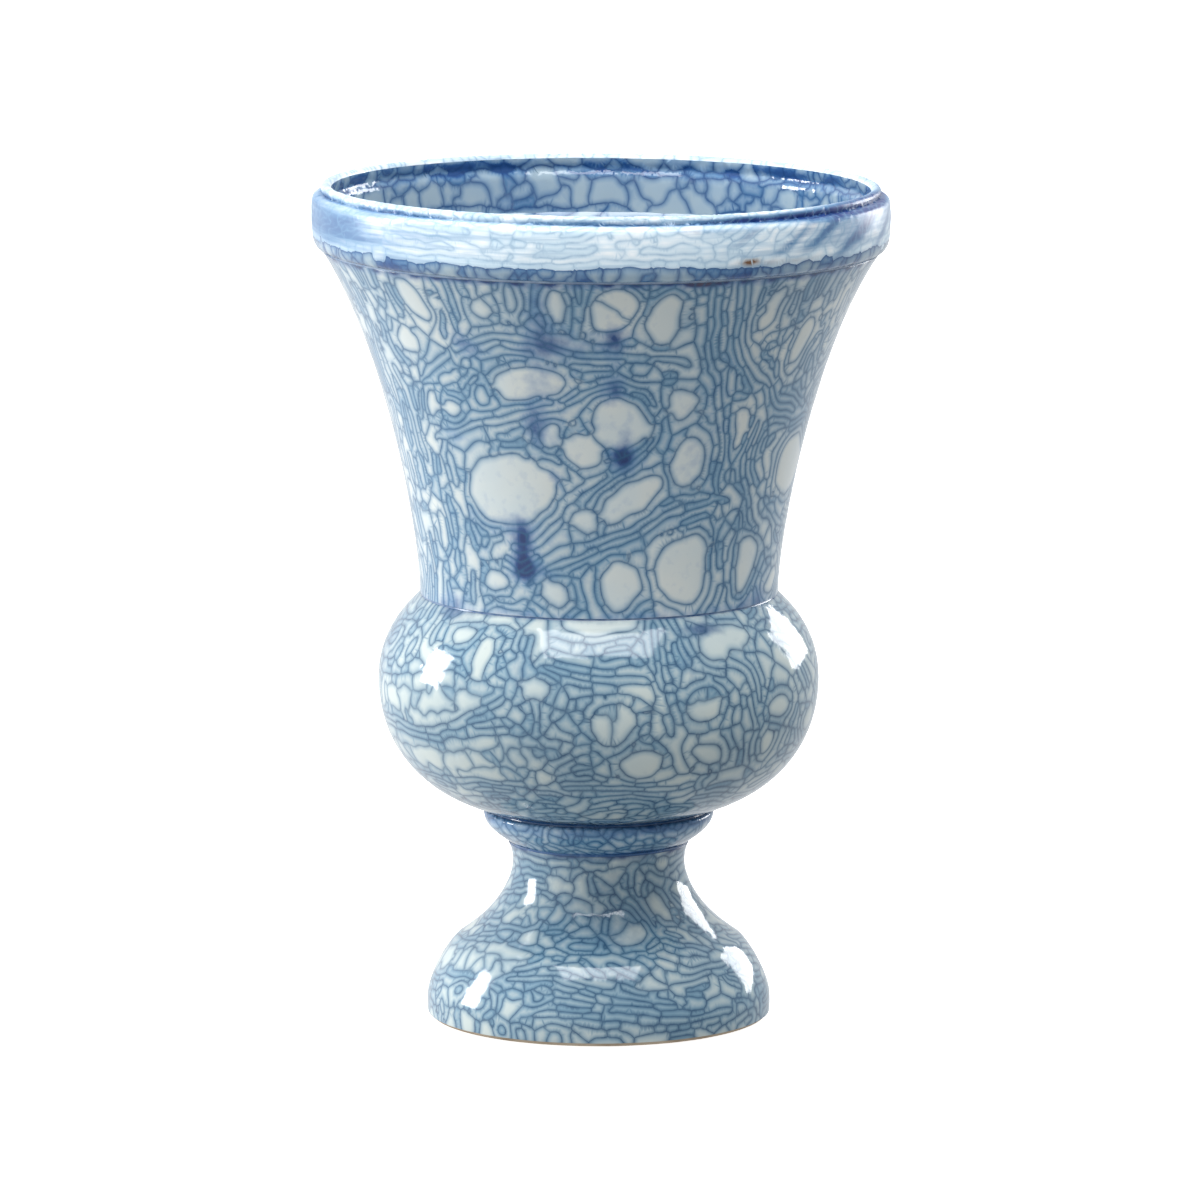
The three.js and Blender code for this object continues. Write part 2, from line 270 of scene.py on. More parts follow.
def seam(bore, outside, base):
    """A luted joint: the upper edge of the lower section, with its spigot, and the lower edge of the upper one."""
    bed, spigot = base - SLIP_BED, bore + 0.35 * (outside - bore)
    upper_edge = [(spigot, bed), (spigot, bed + SPIGOT), (bore, bed + SPIGOT)]
    rebate = spigot + EASE
    lower_edge = [(bore, bed + SPIGOT + EASE), (rebate, bed + SPIGOT + EASE), (rebate, base)]
    return {"bed": bed, "base": base, "bore": bore, "outside": outside, "rebate": rebate,
            "upper_edge": upper_edge, "lower_edge": lower_edge}


ring_face, foot_bore = FOOT_RADIUS - UNDER_GLAZE, FOOT_RADIUS - FOOT_WALL
foot_seam = seam(foot_bore, FOOT_RADIUS, RING_HEIGHT + SLIP_BED)
ring_profile = path(
    round_off((foot_bore, 0.8), (foot_bore + 0.8, 0), True, 3),
    round_off((ring_face - EDGE_ROUND, 0), (ring_face, EDGE_ROUND), False),
    (ring_face, RING_HEIGHT), foot_seam["upper_edge"])
turn("foot_ring_clay", [plain_run(ring_profile)], CLAY, CLAY, ["foot_ring"], swell=0.0)
# The bed of slip on it is hidden but for a line of the same clay in the foot's hollow
slip_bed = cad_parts["foot_slip"]
slip_bed.data.materials.clear()
slip_bed.data.materials.append(CLAY)


# PEDESTAL FOOT
# A hollow dome that runs in an ogee up to a narrow stem, thrown in one piece and joined to the
# ring with slip. It is dipped in a pale glaze that crackles as it cools, and blue stains the cracks.

def waves(rng, count, shortest, longest, radius):
    """Seamless gentle noise over (azimuth, mm along the profile), from -1 to 1."""
    length = rng.uniform(shortest, longest, count)
    heading = rng.uniform(0, 2 * math.pi, count)
    turns = np.round(2 * math.pi * radius / length * np.cos(heading))
    climb = 2 * math.pi / length * np.sin(heading)
    phase = rng.uniform(0, 2 * math.pi, count)

    def level(azimuth, along):
        total = np.zeros(np.broadcast(azimuth, along).shape)
        for m, c, p in zip(turns, climb, phase):
            total += np.cos(m * azimuth + c * along + p)
        return total / math.sqrt(count)
    return level


class Surface:
    """A profile as a flat sheet: places are (azimuth, mm along the profile)."""

    def __init__(self, points):
        self.points = np.array(points, float)
        step = np.hypot(*np.diff(self.points, axis=0).T)
        self.along = np.r_[0, np.cumsum(step)]
        self.length = self.along[-1]
        self.mean = float(self.points[:, 0].mean())
        fine = np.linspace(0, self.length, 1500)
        radius = np.interp(fine, self.along, self.points[:, 0])
        even = np.r_[0, np.cumsum(0.5 * (1 / radius[1:] + 1 / radius[:-1]) * np.diff(fine))] * self.mean
        self.fine, self.even = fine, even
        self.normal = facing(self.points)

    def radius(self, along):
        return np.interp(along, self.along, self.points[:, 0])

    def height(self, along):
        return np.interp(along, self.along, self.points[:, 1])

    def at(self, radius, height):
        """How far along the profile its point nearest to a place lies."""
        return float(self.along[np.argmin(np.hypot(self.points[:, 0] - radius, self.points[:, 1] - height))])

    def at_height(self, height):
        rising = np.argsort(self.points[:, 1], kind="stable")
        return float(np.interp(height, self.points[rising, 1], self.along[rising]))


def off_centre(azimuth, along, radius, place, surface):
    """How far a place on the sheet lies right of and above another, in mm."""
    turned = (azimuth - place[0] + math.pi) % (2 * math.pi) - math.pi
    return turned * 0.5 * (radius + surface.radius(place[1])), along - place[1]


def distance_to(azimuth, along, radius, shape, surface):
    """Distance in mm to the edge of a shape, negative inside. A shape is an oval island of glaze, or a
    strip of glaze between two long cracks that runs through several places."""
    if shape["kind"] == "island":
        u, w = off_centre(azimuth, along, radius, shape["places"][0], surface)
        c, s = math.cos(shape["tilt"]), math.sin(shape["tilt"])
        x, y = u * c - w * s, u * s + w * c
        near = np.hypot(x / shape["wide"], y / shape["tall"]) + 1e-6
        steep = np.hypot(x / shape["wide"] ** 2, y / shape["tall"] ** 2) + 1e-6
        return near * (near - 1) / steep
    nearest, last = None, len(shape["places"]) - 2
    for n, (here, there) in enumerate(zip(shape["places"], shape["places"][1:])):
        u, w = off_centre(azimuth, along, radius, here, surface)
        du, dw = off_centre(there[0], there[1], surface.radius(there[1]), here, surface)
        size = math.hypot(du, dw)
        t = (u * du + w * dw) / size
        on = np.clip(t, 0, size)
        # Past the ends of a strip its cracks run together
        past = np.where(((t < 0) & (n == 0)) | ((t > size) & (n == last)), np.abs(t - on), 0)
        on = np.where(past > 0, t, on)
        reach = np.hypot(u - on * du / size, w - on * dw / size) + 0.3 * past
        nearest = reach if nearest is None else np.minimum(nearest, reach)
    return nearest - shape["wide"]


def on_sheet(surface, right, height):
    """A place on the sheet from degrees right of the front and a height in mm."""
    return math.radians(270 + right) % (2 * math.pi), surface.at_height(height)


def island(surface, right, height, wide, tall, tilt=0, chords=(), cut=None):
    """An oval island: half breadth and half height in mm, tilt in degrees (top to the right), and the
    cracks across it as (heading in degrees, mm off the centre)."""
    return {"kind": "island", "places": [on_sheet(surface, right, height)], "wide": wide, "tall": tall,
            "tilt": math.radians(tilt), "chords": [(math.radians(h), off) for h, off in chords], "cut": cut}


def strip(surface, wide, *places, cut=None):
    """A strip through places given as (degrees right, height), this wide on each side of its middle line."""
    return {"kind": "strip", "places": [on_sheet(surface, *place) for place in places], "wide": wide,
            "tall": wide, "chords": [], "cut": cut}


def patch(surface, shape, azimuth, along, reach):
    """The part of a grid of (rows along, columns of azimuth) that lies within reach of a shape."""
    at_l = [q[1] for q in shape["places"]]
    span = max(shape["wide"], shape["tall"]) + reach
    low, high = np.searchsorted(along, (min(at_l) - span, max(at_l) + span))
    if high <= low:
        return None
    start = shape["places"][0][0]
    at_a = [(q[0] - start + math.pi) % (2 * math.pi) - math.pi for q in shape["places"]]
    half = span / max(4.0, surface.radius(along[low:high]).min())
    columns, step = len(azimuth), azimuth[1]
    wide = int((max(at_a) - min(at_a) + 2 * half) / step) + 2
    pick = np.arange(columns) if wide >= columns else np.arange(wide) + int((start + min(at_a) - half) / step)
    return np.ix_(np.arange(low, high), pick % columns)


def grid_over(surface, spacing):
    columns = int(2 * math.pi * surface.points[:, 0].max() / spacing)
    rows = max(8, int(surface.length / spacing)) + 1
    return np.arange(columns) * 2 * math.pi / columns, np.linspace(0, surface.length, rows)


def scatter(surface, rng, shapes, zones, tries):
    """Fills the rest of a surface with islands and strips. A zone holds a test of (degrees right of the front,
    height), the half breadths, how many times longer, the tilts in degrees, the share that stand upright, the
    least distance between two in mm, the share that are strips, and the lengths of the cells round them."""
    placed = []
    azimuths, alongs = grid_over(surface, 1.5)
    near = np.full((len(alongs), len(azimuths)), 60.0)

    def place(shape):
        part = patch(surface, shape, azimuths, alongs, 12)
        if part is not None:
            d = distance_to(azimuths[part[1]], alongs[part[0]], surface.radius(alongs[part[0]]), shape, surface)
            near[part] = np.minimum(near[part], d)
        placed.append(shape)

    def room(places):
        at = np.array(places)
        row = np.clip(np.round(at[:, 1] / alongs[1]).astype(int), 0, len(alongs) - 1)
        column = np.round(at[:, 0] / azimuths[1]).astype(int) % len(azimuths)
        return near[row, column].min()
    for shape in shapes:
        place(shape)
    for _ in range(tries):
        azimuth, along = rng.uniform(0, 2 * math.pi), rng.uniform(0, surface.length)
        right = (math.degrees(azimuth) + 270) % 360 - 180
        _, sizes, longs, tilts, upright, apart, strips, cut = next(
            z for z in zones if z[0](right, surface.height(along)))
        size, long, tilt = rng.uniform(*sizes), rng.uniform(*longs), math.radians(rng.uniform(*tilts))
        wide, tall = (size, size * long) if rng.random() < upright else (size * long, size)
        radius = surface.radius(along)
        if rng.random() < strips:
            heading, run = math.pi / 2 - tilt if tall > wide else -tilt, rng.uniform(5, 9)
            bend, places = rng.uniform(-0.35, 0.35), [(azimuth, along)]
            for _ in range(rng.integers(2, 6)):
                at, to = places[-1]
                places.append((at + run * math.cos(heading) / surface.radius(to), to + run * math.sin(heading)))
                heading += bend
            places = [q for q in places if -4 < q[1] < surface.length + 4]
            shape = {"kind": "strip", "places": places, "wide": 1.2, "tall": 1.2, "chords": [], "cut": cut}
            probes = places
            if len(places) < 2:
                continue
        else:
            shape = {"kind": "island", "places": [(azimuth, along)], "wide": wide, "tall": tall, "tilt": tilt,
                     "chords": [], "cut": cut}
            c, s = math.cos(tilt), math.sin(tilt)
            probes = [(azimuth, along)]
            for sign in (-0.9, 0.9):
                probes.append((azimuth + sign * wide * c / radius, along - sign * wide * s))
                probes.append((azimuth + sign * tall * s / radius, along + sign * tall * c))
        if room(probes) >= apart:
            place(shape)
    return placed


def bands(*breadths):
    """Edges of the bands round a shape, in mm from it, from their breadths, used over and over."""
    return tuple(np.r_[0, np.cumsum(np.resize(breadths, 16))].round(3).tolist())


def crackle(surface, rng, shapes, edges, spacing=1.2, fill=2.6, cut=(5, 32), blots=(), washes=(), specks=(), warp=1.3,
            grid=0.6, smallest=4, inside=lambda along: along < -1):
    """The network of cracks over a surface. Round each island or strip run bands, as far as half way to the
    next one, and the bands are cut across. Each point knows its distance to the nearest crack and its cell's
    breadth in mm, its cell's shade, and how much cobalt has gathered there. The glaze inside covers the
    cells whose middle passes the test of mm along the profile."""
    mean, length, top = surface.mean, surface.length, surface.even[-1]
    sheet = 2 * math.pi * mean
    azimuth, along = grid_over(surface, grid)
    columns, rows = len(azimuth), len(along)
    step_l, step_a = along[1], azimuth[1]
    wave_u, wave_w = waves(rng, 9, 18, 50, mean), waves(rng, 9, 18, 50, mean)
    fine_u, fine_w = waves(rng, 9, 7, 14, mean), waves(rng, 9, 7, 14, mean)
    stretch = waves(rng, 8, 25, 70, mean)
    a2, l2 = np.meshgrid(azimuth, along)
    r2 = surface.radius(l2)
    a_bent = a2 + (warp * wave_u(a2, l2) + 0.45 * fine_u(a2, l2)) / r2
    l_bent = l2 + warp * wave_w(a2, l2) + 0.45 * fine_w(a2, l2)
    best, second, which = np.full(a2.shape, 60.0), np.full(a2.shape, 60.0), np.zeros(a2.shape, int)
    for number, shape in enumerate(shapes):
        part = patch(surface, shape, azimuth, along, 26)
        if part is None:
            continue
        d = distance_to(a_bent[part], l_bent[part], r2[part], shape, surface)
        closer = d < best[part]
        second[part] = np.where(closer, best[part], np.minimum(second[part], d))
        best[part] = np.where(closer, d, best[part])
        which[part] = np.where(closer, number, which[part])
    swollen = 1 + 0.15 * stretch(a2, l2)
    field = np.where(best > 0, best * swollen, best)

    def steepness(values):
        over_l, over_a = np.gradient(values, step_l, step_a)
        return np.hypot(over_l, over_a / r2)
    # How far it is to the line half way between two shapes
    middle = 0.5 * (second - best)
    slope = steepness(middle)
    slope = np.maximum.reduce([slope, np.roll(slope, 2, 1), np.roll(slope, -2, 1),
                               np.roll(slope, 2, 0), np.roll(slope, -2, 0)])
    middle = middle / np.clip(slope, 0.3, 1.0)

    def to_even(place):
        return np.interp(place, surface.fine, surface.even)
    cell = max(spacing, 0.62 * fill) * mean / surface.points[:, 0].min()

    def thin(points, keep_off, table):
        """Keeps the points that lie at least this far (in mm) from those in the table, and adds them."""
        kept = []
        for n, (x, y, local) in enumerate(points):
            i, j = int(x / cell), int(y / cell)
            limit = (keep_off * local) ** 2
            if all((px - x) ** 2 + (py - y) ** 2 >= limit
                   for di in (-1, 0, 1) for dj in (-1, 0, 1) for px, py in table.get((i + di, j + dj), ())):
                table.setdefault((i, j), []).append((x, y))
                kept.append(n)
        return kept

    def contour(over):
        """Places where a field on the grid passes zero, as (x, y, scale) on the even sheet."""
        right = np.roll(over, -1, axis=1)
        i, j = np.nonzero(over * right < 0)
        t = over[i, j] / (over[i, j] - right[i, j])
        at_a, at_l = (j + t) * step_a, along[i]
        i, j = np.nonzero(over[:-1] * over[1:] < 0)
        t = over[i, j] / (over[i, j] - over[i + 1, j])
        at_a, at_l = np.r_[at_a, azimuth[j]], np.r_[at_l, along[i] + t * step_l]
        _, first = np.unique(np.round(np.stack([at_a * mean, at_l], 1) / (spacing * 0.4)), axis=0, return_index=True)
        at_a, at_l = at_a[first], at_l[first]
        return np.stack([at_a * mean % sheet, to_even(at_l), mean / surface.radius(at_l)], 1)

    def cell_of(x, y):
        """The grid's column and row at places on the even sheet."""
        at_l = np.interp(y, surface.even, surface.fine)
        return (np.clip(np.round(at_l / step_l).astype(int), 0, rows - 1),
                np.round(x / sheet * columns).astype(int) % columns)

    # Rows of seeds run along the middle of each band, on both sides of a wide one, and on both sides of
    # the lines half way between two shapes. A crack is drawn wherever seeds of two cells meet.
    side, widest = 1.2, 3.6
    edges = list(edges)
    levels = [-side]
    for k in range(len(edges) - 1):
        breadth = edges[k + 1] - edges[k]
        levels += [edges[k] + breadth / 2] if breadth <= widest else [edges[k] + side, edges[k + 1] - side]
    spines = []
    for shape in shapes:
        if shape["kind"] == "strip":
            for here, there in zip(shape["places"], shape["places"][1:]):
                du, dw = off_centre(there[0], there[1], surface.radius(there[1]), here, surface)
                t = np.arange(0, 1, spacing * 0.5 / math.hypot(du, dw))
                turned = (there[0] - here[0] + math.pi) % (2 * math.pi) - math.pi
                at_a, at_l = here[0] + t * turned, here[1] + t * dw
                spines.append(np.stack([at_a - warp * wave_u(at_a, at_l) / surface.radius(at_l),
                                        at_l - warp * wave_w(at_a, at_l)], 1))
    seeds, every = [], {}
    rows_of_seeds = [(middle - side, 0.0)] + [(field - level, side + 0.55) for level in levels]
    if spines:
        spine = np.concatenate(spines)
        spine = spine[(spine[:, 1] > 0.2) & (spine[:, 1] < length - 0.2)]
        rows_of_seeds.insert(1, (spine, side + 0.3))
    for over, clear in rows_of_seeds:
        if over.shape[1] == 2:
            spots = np.stack([over[:, 0] * mean % sheet, to_even(over[:, 1]), mean / surface.radius(over[:, 1])], 1)
            row, column = cell_of(spots[:, 0], spots[:, 1])
            spots = spots[best[row, column] < 0]
        else:
            spots = contour(over)
        if not len(spots):
            continue
        row, column = cell_of(spots[:, 0], spots[:, 1])
        spots = spots[middle[row, column] > clear]
        spots = spots[np.lexsort((spots[:, 1].round(), spots[:, 0].round()))]
        kept = spots[thin(spots.tolist(), spacing, every)]
        seeds += kept[:, :2].tolist()
    # Loose seeds fill what the rows leave, clear of the cracks
    count = int(sheet * top / fill ** 2 * 9)
    loose = np.stack([rng.uniform(0, sheet, count), rng.uniform(0, top, count)], 1)
    row, column = cell_of(loose[:, 0], loose[:, 1])
    value = field[row, column]
    off_crack = np.minimum(np.abs(value[:, None] - np.array(edges)[None, :]).min(1), middle[row, column])
    loose = np.column_stack([loose, mean / surface.radius(along[row])])[off_crack > side * 0.85]
    kept = thin(loose.tolist(), fill * 0.62, every)
    seeds = np.array(seeds + loose[kept][:, :2].tolist())
    seeds[:, 1] = np.clip(seeds[:, 1], 0.12, top - 0.12)
    total = len(seeds)
    row, column = cell_of(seeds[:, 0], seeds[:, 1])
    value, shape_of = field[row, column], which[row, column]
    band_of = np.where(value < 0, 0, np.searchsorted(edges, value, side="right"))
    # What is left of a band beside the half-way line belongs to the band before it, if it is narrow
    left_over = value + middle[row, column] - np.array(edges)[np.maximum(band_of - 1, 0)]
    band_of = np.where((band_of > 1) & (left_over < 1.9), band_of - 1, band_of)
    band_of = np.where((band_of == 1) & (left_over < 1.3), 0, band_of)
    kinds = shape_of * 64 + band_of

    # The seeds are copied past the seam and mirrored past both ends, so that cells end on the edges. They
    # sit on a grid of 1/4096 mm, which Vector holds exactly, and the mirrored ones are one step off, so
    # that both sides of the seam are parted alike
    margin, step = 16.0, 1 / 4096
    turn_round = round(sheet / step) * step
    snapped = np.round(seeds / step) * step
    index = np.arange(total)
    groups = [(snapped, index)]
    for number, level in ((1, 0.0), (2, round(top / step) * step)):
        near = np.abs(snapped[:, 1] - level) < margin
        mirrored = snapped[near] * (1, -1) + (0, 2 * level + step)
        groups.append((mirrored, index[near] + total * number))
    flat, label = (np.concatenate([g[n] for g in groups]) for n in (0, 1))
    left, right = flat[:, 0] < margin, flat[:, 0] > turn_round - margin
    flat = np.concatenate([flat, flat[left] + (turn_round, 0), flat[right] - (turn_round, 0)])
    label = np.concatenate([label, label[left], label[right]])
    triangles = np.array(delaunay_2d_cdt([Vector(p) for p in flat.tolist()], [], [], 0, 1e-9, False)[2])
    corner = flat[triangles]
    signed = np.cross(corner[:, 1] - corner[:, 0], corner[:, 2] - corner[:, 0])
    triangles[signed < 0] = triangles[signed < 0][:, ::-1]
    corner, owner = flat[triangles], label[triangles]
    middle = corner[:, :, 0].mean(1)
    use = (middle >= 0) & (middle < turn_round) & (owner < total).any(1) & (np.abs(signed) > 1e-12)
    corner, owner = corner[use], owner[use]
    a, b, c = corner[:, 0], corner[:, 1], corner[:, 2]
    ab, ac = b - a, c - a
    twice = 2 * (ab[:, 0] * ac[:, 1] - ab[:, 1] * ac[:, 0])
    ab2, ac2 = (ab ** 2).sum(1), (ac ** 2).sum(1)
    hub = np.stack([a[:, 0] + (ac[:, 1] * ab2 - ab[:, 1] * ac2) / twice,
                    a[:, 1] + (ab[:, 0] * ac2 - ac[:, 0] * ab2) / twice], 1)
    on_edge = owner.max(1) >= total
    hub[:, 1] = np.clip(hub[:, 1], 0.01, top - 0.01)
    hub[on_edge, 1] = np.where(owner[on_edge].max(1) >= 2 * total, top, 0.0)

    # Two triangles share an edge: the line between their hubs parts two seeds. Seen from the seed with
    # the lower number, hub_one is on the left.
    sides = np.concatenate([owner[:, [0, 1]], owner[:, [1, 2]], owner[:, [2, 0]]])
    face_of = np.tile(np.arange(len(owner)), 3)
    order = np.lexsort((sides[:, 0] > sides[:, 1], sides.max(1), sides.min(1)))
    low, high = sides.min(1)[order], sides.max(1)[order]
    face_of = face_of[order]
    same = (low[1:] == low[:-1]) & (high[1:] == high[:-1])
    first = np.nonzero(same)[0]
    one, two = low[first], high[first]
    hub_one, hub_two = face_of[first], face_of[first + 1]

    # Bands are cut across: a cell grows from a seed along its band for a random length
    root = lambda n: n % total
    links = [[] for _ in range(total)]
    flat_kind = kinds.tolist()
    place_l = np.interp(seeds[:, 1], surface.even, surface.fine)
    scale = surface.radius(place_l) / mean
    xs, ys, sc = seeds[:, 0].tolist(), seeds[:, 1].tolist(), scale.tolist()
    for p, q in zip(root(one).tolist(), root(two).tolist()):
        if p != q and flat_kind[p] == flat_kind[q]:
            dx = abs(xs[p] - xs[q])
            dx = min(dx, sheet - dx)
            step = math.hypot(dx, ys[p] - ys[q]) * sc[p]
            links[p].append((q, step))
            links[q].append((p, step))
    group, cells = [-1] * total, 0
    parts = {}
    inner = np.nonzero((band_of == 0) & np.array([shapes[n]["kind"] == "island" for n in shape_of.tolist()]))[0]
    for n in inner.tolist():
        shape = shapes[shape_of[n]]
        u, w = off_centre(xs[n] / mean, place_l[n], sc[n] * mean, shape["places"][0], surface)
        key = (int(shape_of[n]),)
        for heading, offset in shape["chords"]:
            key += (bool(w * math.cos(heading) - u * math.sin(heading) > offset),)
            if not key[-1]:
                break
        if key not in parts:
            parts[key], cells = cells, cells + 1
        group[n] = parts[key]
    lengths = [shape["cut"] or cut for shape in shapes]
    owner_shape = shape_of.tolist()
    for start, chance in zip(rng.permutation(total).tolist(), rng.random(total).tolist()):
        if group[start] >= 0:
            continue
        span = lengths[owner_shape[start]]
        limit = 0.5 * (span[0] + (span[1] - span[0]) * chance ** 1.6)
        group[start], front = cells, [(start, 0.0)]
        while front:
            ahead = []
            for p, gone in front:
                for q, step in links[p]:
                    if group[q] < 0 and gone + step < limit:
                        group[q] = cells
                        ahead.append((q, gone + step))
            front = ahead
        cells += 1
    group = np.array(group)
    # Slivers join a neighbour
    sizes = np.bincount(group, minlength=cells)
    parent = np.arange(cells)

    def find(n):
        while parent[n] != n:
            parent[n] = parent[parent[n]]
            n = parent[n]
        return n
    for alike in (True, False):
        for p, q in zip(root(one).tolist(), root(two).tolist()):
            gp, gq = find(group[p]), find(group[q])
            if gp != gq and min(sizes[gp], sizes[gq]) < smallest and owner_shape[p] == owner_shape[q] and (
                    flat_kind[p] == flat_kind[q] or not alike):
                parent[gp] = gq
                sizes[gq] += sizes[gp]
    group = np.array([find(g) for g in group])

    cracked = group[root(one)] != group[root(two)]
    open_hub = np.zeros(len(hub), bool)
    open_hub[hub_one[cracked]] = True
    open_hub[hub_two[cracked]] = True
    degree = np.bincount(np.r_[hub_one[cracked], hub_two[cracked]], minlength=len(hub))
    sharp = hub.copy()
    for _ in range(3):
        pull, number = np.zeros_like(hub), np.zeros(len(hub))
        for p, q in ((hub_one[cracked], hub_two[cracked]), (hub_two[cracked], hub_one[cracked])):
            delta = hub[q] - hub[p]
            delta[:, 0] = (delta[:, 0] + sheet / 2) % sheet - sheet / 2
            np.add.at(pull, p, delta)
            np.add.at(number, p, 1)
        ease = np.where(degree == 2, 0.5, 0.15)[:, None] * pull / np.maximum(number, 1)[:, None]
        ease[on_edge, 1] = 0
        ease = np.clip(ease, -0.5, 0.5)
        hub = hub + ease
    hub[~on_edge, 1] = np.clip(hub[~on_edge, 1], 0.01, top - 0.01)

    def leftward(seed, p, q):
        u, w = hub[p] - seeds[seed], hub[q] - seeds[seed]
        u[:, 0], w[:, 0] = ((of[:, 0] + sheet / 2) % sheet - sheet / 2 for of in (u, w))
        return u[:, 0] * w[:, 1] - u[:, 1] * w[:, 0]
    # Each line makes a triangle with both its seeds. Where easing has turned one over, it is taken back.
    fans = [(of[of < total], p[of < total], q[of < total], np.nonzero(of < total)[0])
            for of, p, q in ((one, hub_two, hub_one), (two, hub_one, hub_two))]
    for _ in range(3):
        for of, p, q, _ in fans:
            over = leftward(of, p, q) < 1e-4
            hub[p[over]], hub[q[over]] = sharp[p[over]], sharp[q[over]]

    # A closed line inside a cell gets a point half way, so that it isn't taken for a crack
    closed = ~cracked & open_hub[hub_one] & open_hub[hub_two]
    delta = hub[hub_two] - hub[hub_one]
    delta[:, 0] = (delta[:, 0] + sheet / 2) % sheet - sheet / 2
    half_way = hub[hub_one] + delta / 2
    mid_index = np.full(len(one), -1)
    mid_index[closed] = total + len(hub) + np.arange(closed.sum())
    flat_all = np.concatenate([seeds, hub, half_way[closed]])
    place = np.interp(flat_all[:, 1], surface.even, surface.fine)
    azimuth_all = flat_all[:, 0] / mean
    radius_all, height_all = surface.radius(place), surface.height(place)
    solid = np.stack([radius_all * np.cos(azimuth_all), radius_all * np.sin(azimuth_all), height_all], 1)
    marks = np.concatenate([solid[total:total + len(hub)][open_hub], 0.5 * (
        solid[total + hub_one[cracked]] + solid[total + hub_two[cracked]])])
    tree = KDTree(len(marks))
    for n, mark in enumerate(marks.tolist()):
        tree.insert(mark, n)
    tree.balance()
    gap = np.zeros(len(flat_all))
    is_open = np.zeros(len(flat_all), bool)
    is_open[total:total + len(hub)] = open_hub
    # The short cracks across a band are finer than the long ones
    across = cracked & (kinds[root(one)] == kinds[root(two)])
    along_band = np.bincount(np.r_[hub_one[cracked & ~across], hub_two[cracked & ~across]], minlength=len(hub)) > 0
    gap[total:total + len(hub)][open_hub & ~along_band] = 0.12
    for n in np.nonzero(~is_open)[0].tolist():
        gap[n] = tree.find(solid[n].tolist())[2]
    breadth_of = np.zeros(cells)
    np.maximum.at(breadth_of, group, gap[:total])
    tone_of = rng.random(cells)
    middle_of = np.bincount(group, place[:total], cells) / np.maximum(np.bincount(group, minlength=cells), 1)
    coat_of = -1.0 * inside(middle_of)
    owners, mids = group[root(owner)], group[root(one[closed])]
    breadth, tone, coat = (np.concatenate([of[group], of[owners].mean(1), of[mids]])
                           for of in (breadth_of, tone_of, coat_of))

    # Cobalt: washes all round at given places along the profile, and single spots and smears
    blot = np.zeros(len(flat_all))
    wander = waves(rng, 9, 9, 60, mean)
    for at, spread, strength in washes:
        uneven = wander(azimuth_all, place * 0)
        blot += strength * (1 + 0.45 * uneven) * np.exp(-((place - at - 0.35 * spread * uneven) / spread) ** 2)
    iron = np.zeros(len(flat_all))
    for total_of, spots in ((blot, blots), (iron, specks)):
        for centre, at, wide, tall, tilt, strength in spots:
            turned = (azimuth_all - centre + math.pi) % (2 * math.pi) - math.pi
            u, w = turned * radius_all, place - at
            x, y = u * math.cos(tilt) - w * math.sin(tilt), u * math.sin(tilt) + w * math.cos(tilt)
            total_of += strength * np.exp(-((x / wide) ** 2 + (y / tall) ** 2))

    faces = []
    for of, p, q, line in fans:
        s, p, q, m = of, total + p, total + q, mid_index[line]
        whole, parted = m < 0, m >= 0
        faces.append(np.stack([s[whole], p[whole], q[whole]], 1))
        faces.append(np.stack([s[parted], p[parted], m[parted]], 1))
        faces.append(np.stack([s[parted], m[parted], q[parted]], 1))
    faces = np.concatenate(faces)

    # Points that fall together become one
    key = np.round(solid * 2000).astype(np.int64)
    _, first_at, inverse = np.unique(key, axis=0, return_index=True, return_inverse=True)
    inverse = inverse.ravel()
    faces = inverse[faces]
    good = (faces[:, 0] != faces[:, 1]) & (faces[:, 1] != faces[:, 2]) & (faces[:, 0] != faces[:, 2])
    faces = faces[good]
    used = np.unique(faces)
    renumber = np.full(len(first_at), -1)
    renumber[used] = np.arange(len(used))
    faces = renumber[faces]
    keep = first_at[used]
    lean = np.stack([np.interp(place[keep], surface.along, surface.normal[:, i]) for i in (0, 1)], 1)
    azimuth_kept = azimuth_all[keep] % (2 * math.pi)
    data = {
        "azimuth": azimuth_kept, "radius": radius_all[keep], "height": height_all[keep],
        "out": lean[:, 0], "rise": lean[:, 1], "gap": gap[keep], "breadth": breadth[keep],
        "tone": tone[keep], "blot": blot[keep], "iron": iron[keep], "coat": coat[keep],
    }
    # The open edges of the net, walked round, are its two ends
    ways = np.concatenate([faces[:, [0, 1]], faces[:, [1, 2]], faces[:, [2, 0]]])
    there, back = ways[:, 0] * len(keep) + ways[:, 1], ways[:, 1] * len(keep) + ways[:, 0]
    following = dict(ways[~np.isin(there, back)].tolist())
    ends = [None, None]
    while following:
        ring = [next(iter(following))]
        while following[ring[-1]] != ring[0]:
            ring.append(following.pop(ring[-1]))
        following.pop(ring[-1])
        upper = bool(flat_all[keep[ring[0]], 1] > top / 2)
        ring = ring[::-1] if upper else ring
        start = int(np.argmin(azimuth_kept[ring]))
        ends[upper] = ring[start:] + ring[:start]
    print("  net:", total, "seeds", cells, "cells", len(faces), "faces", [len(e) for e in ends], flush=True)
    return {"data": data, "faces": faces.tolist(), "low": ends[0], "high": ends[1]}


def blots_on(surface, places):
    """Cobalt blots given as degrees right of the front, height, half breadth, half height, tilt and strength."""
    return [(*on_sheet(surface, right, height), wide, tall, math.radians(tilt), strength)
            for right, height, wide, tall, tilt, strength in places]


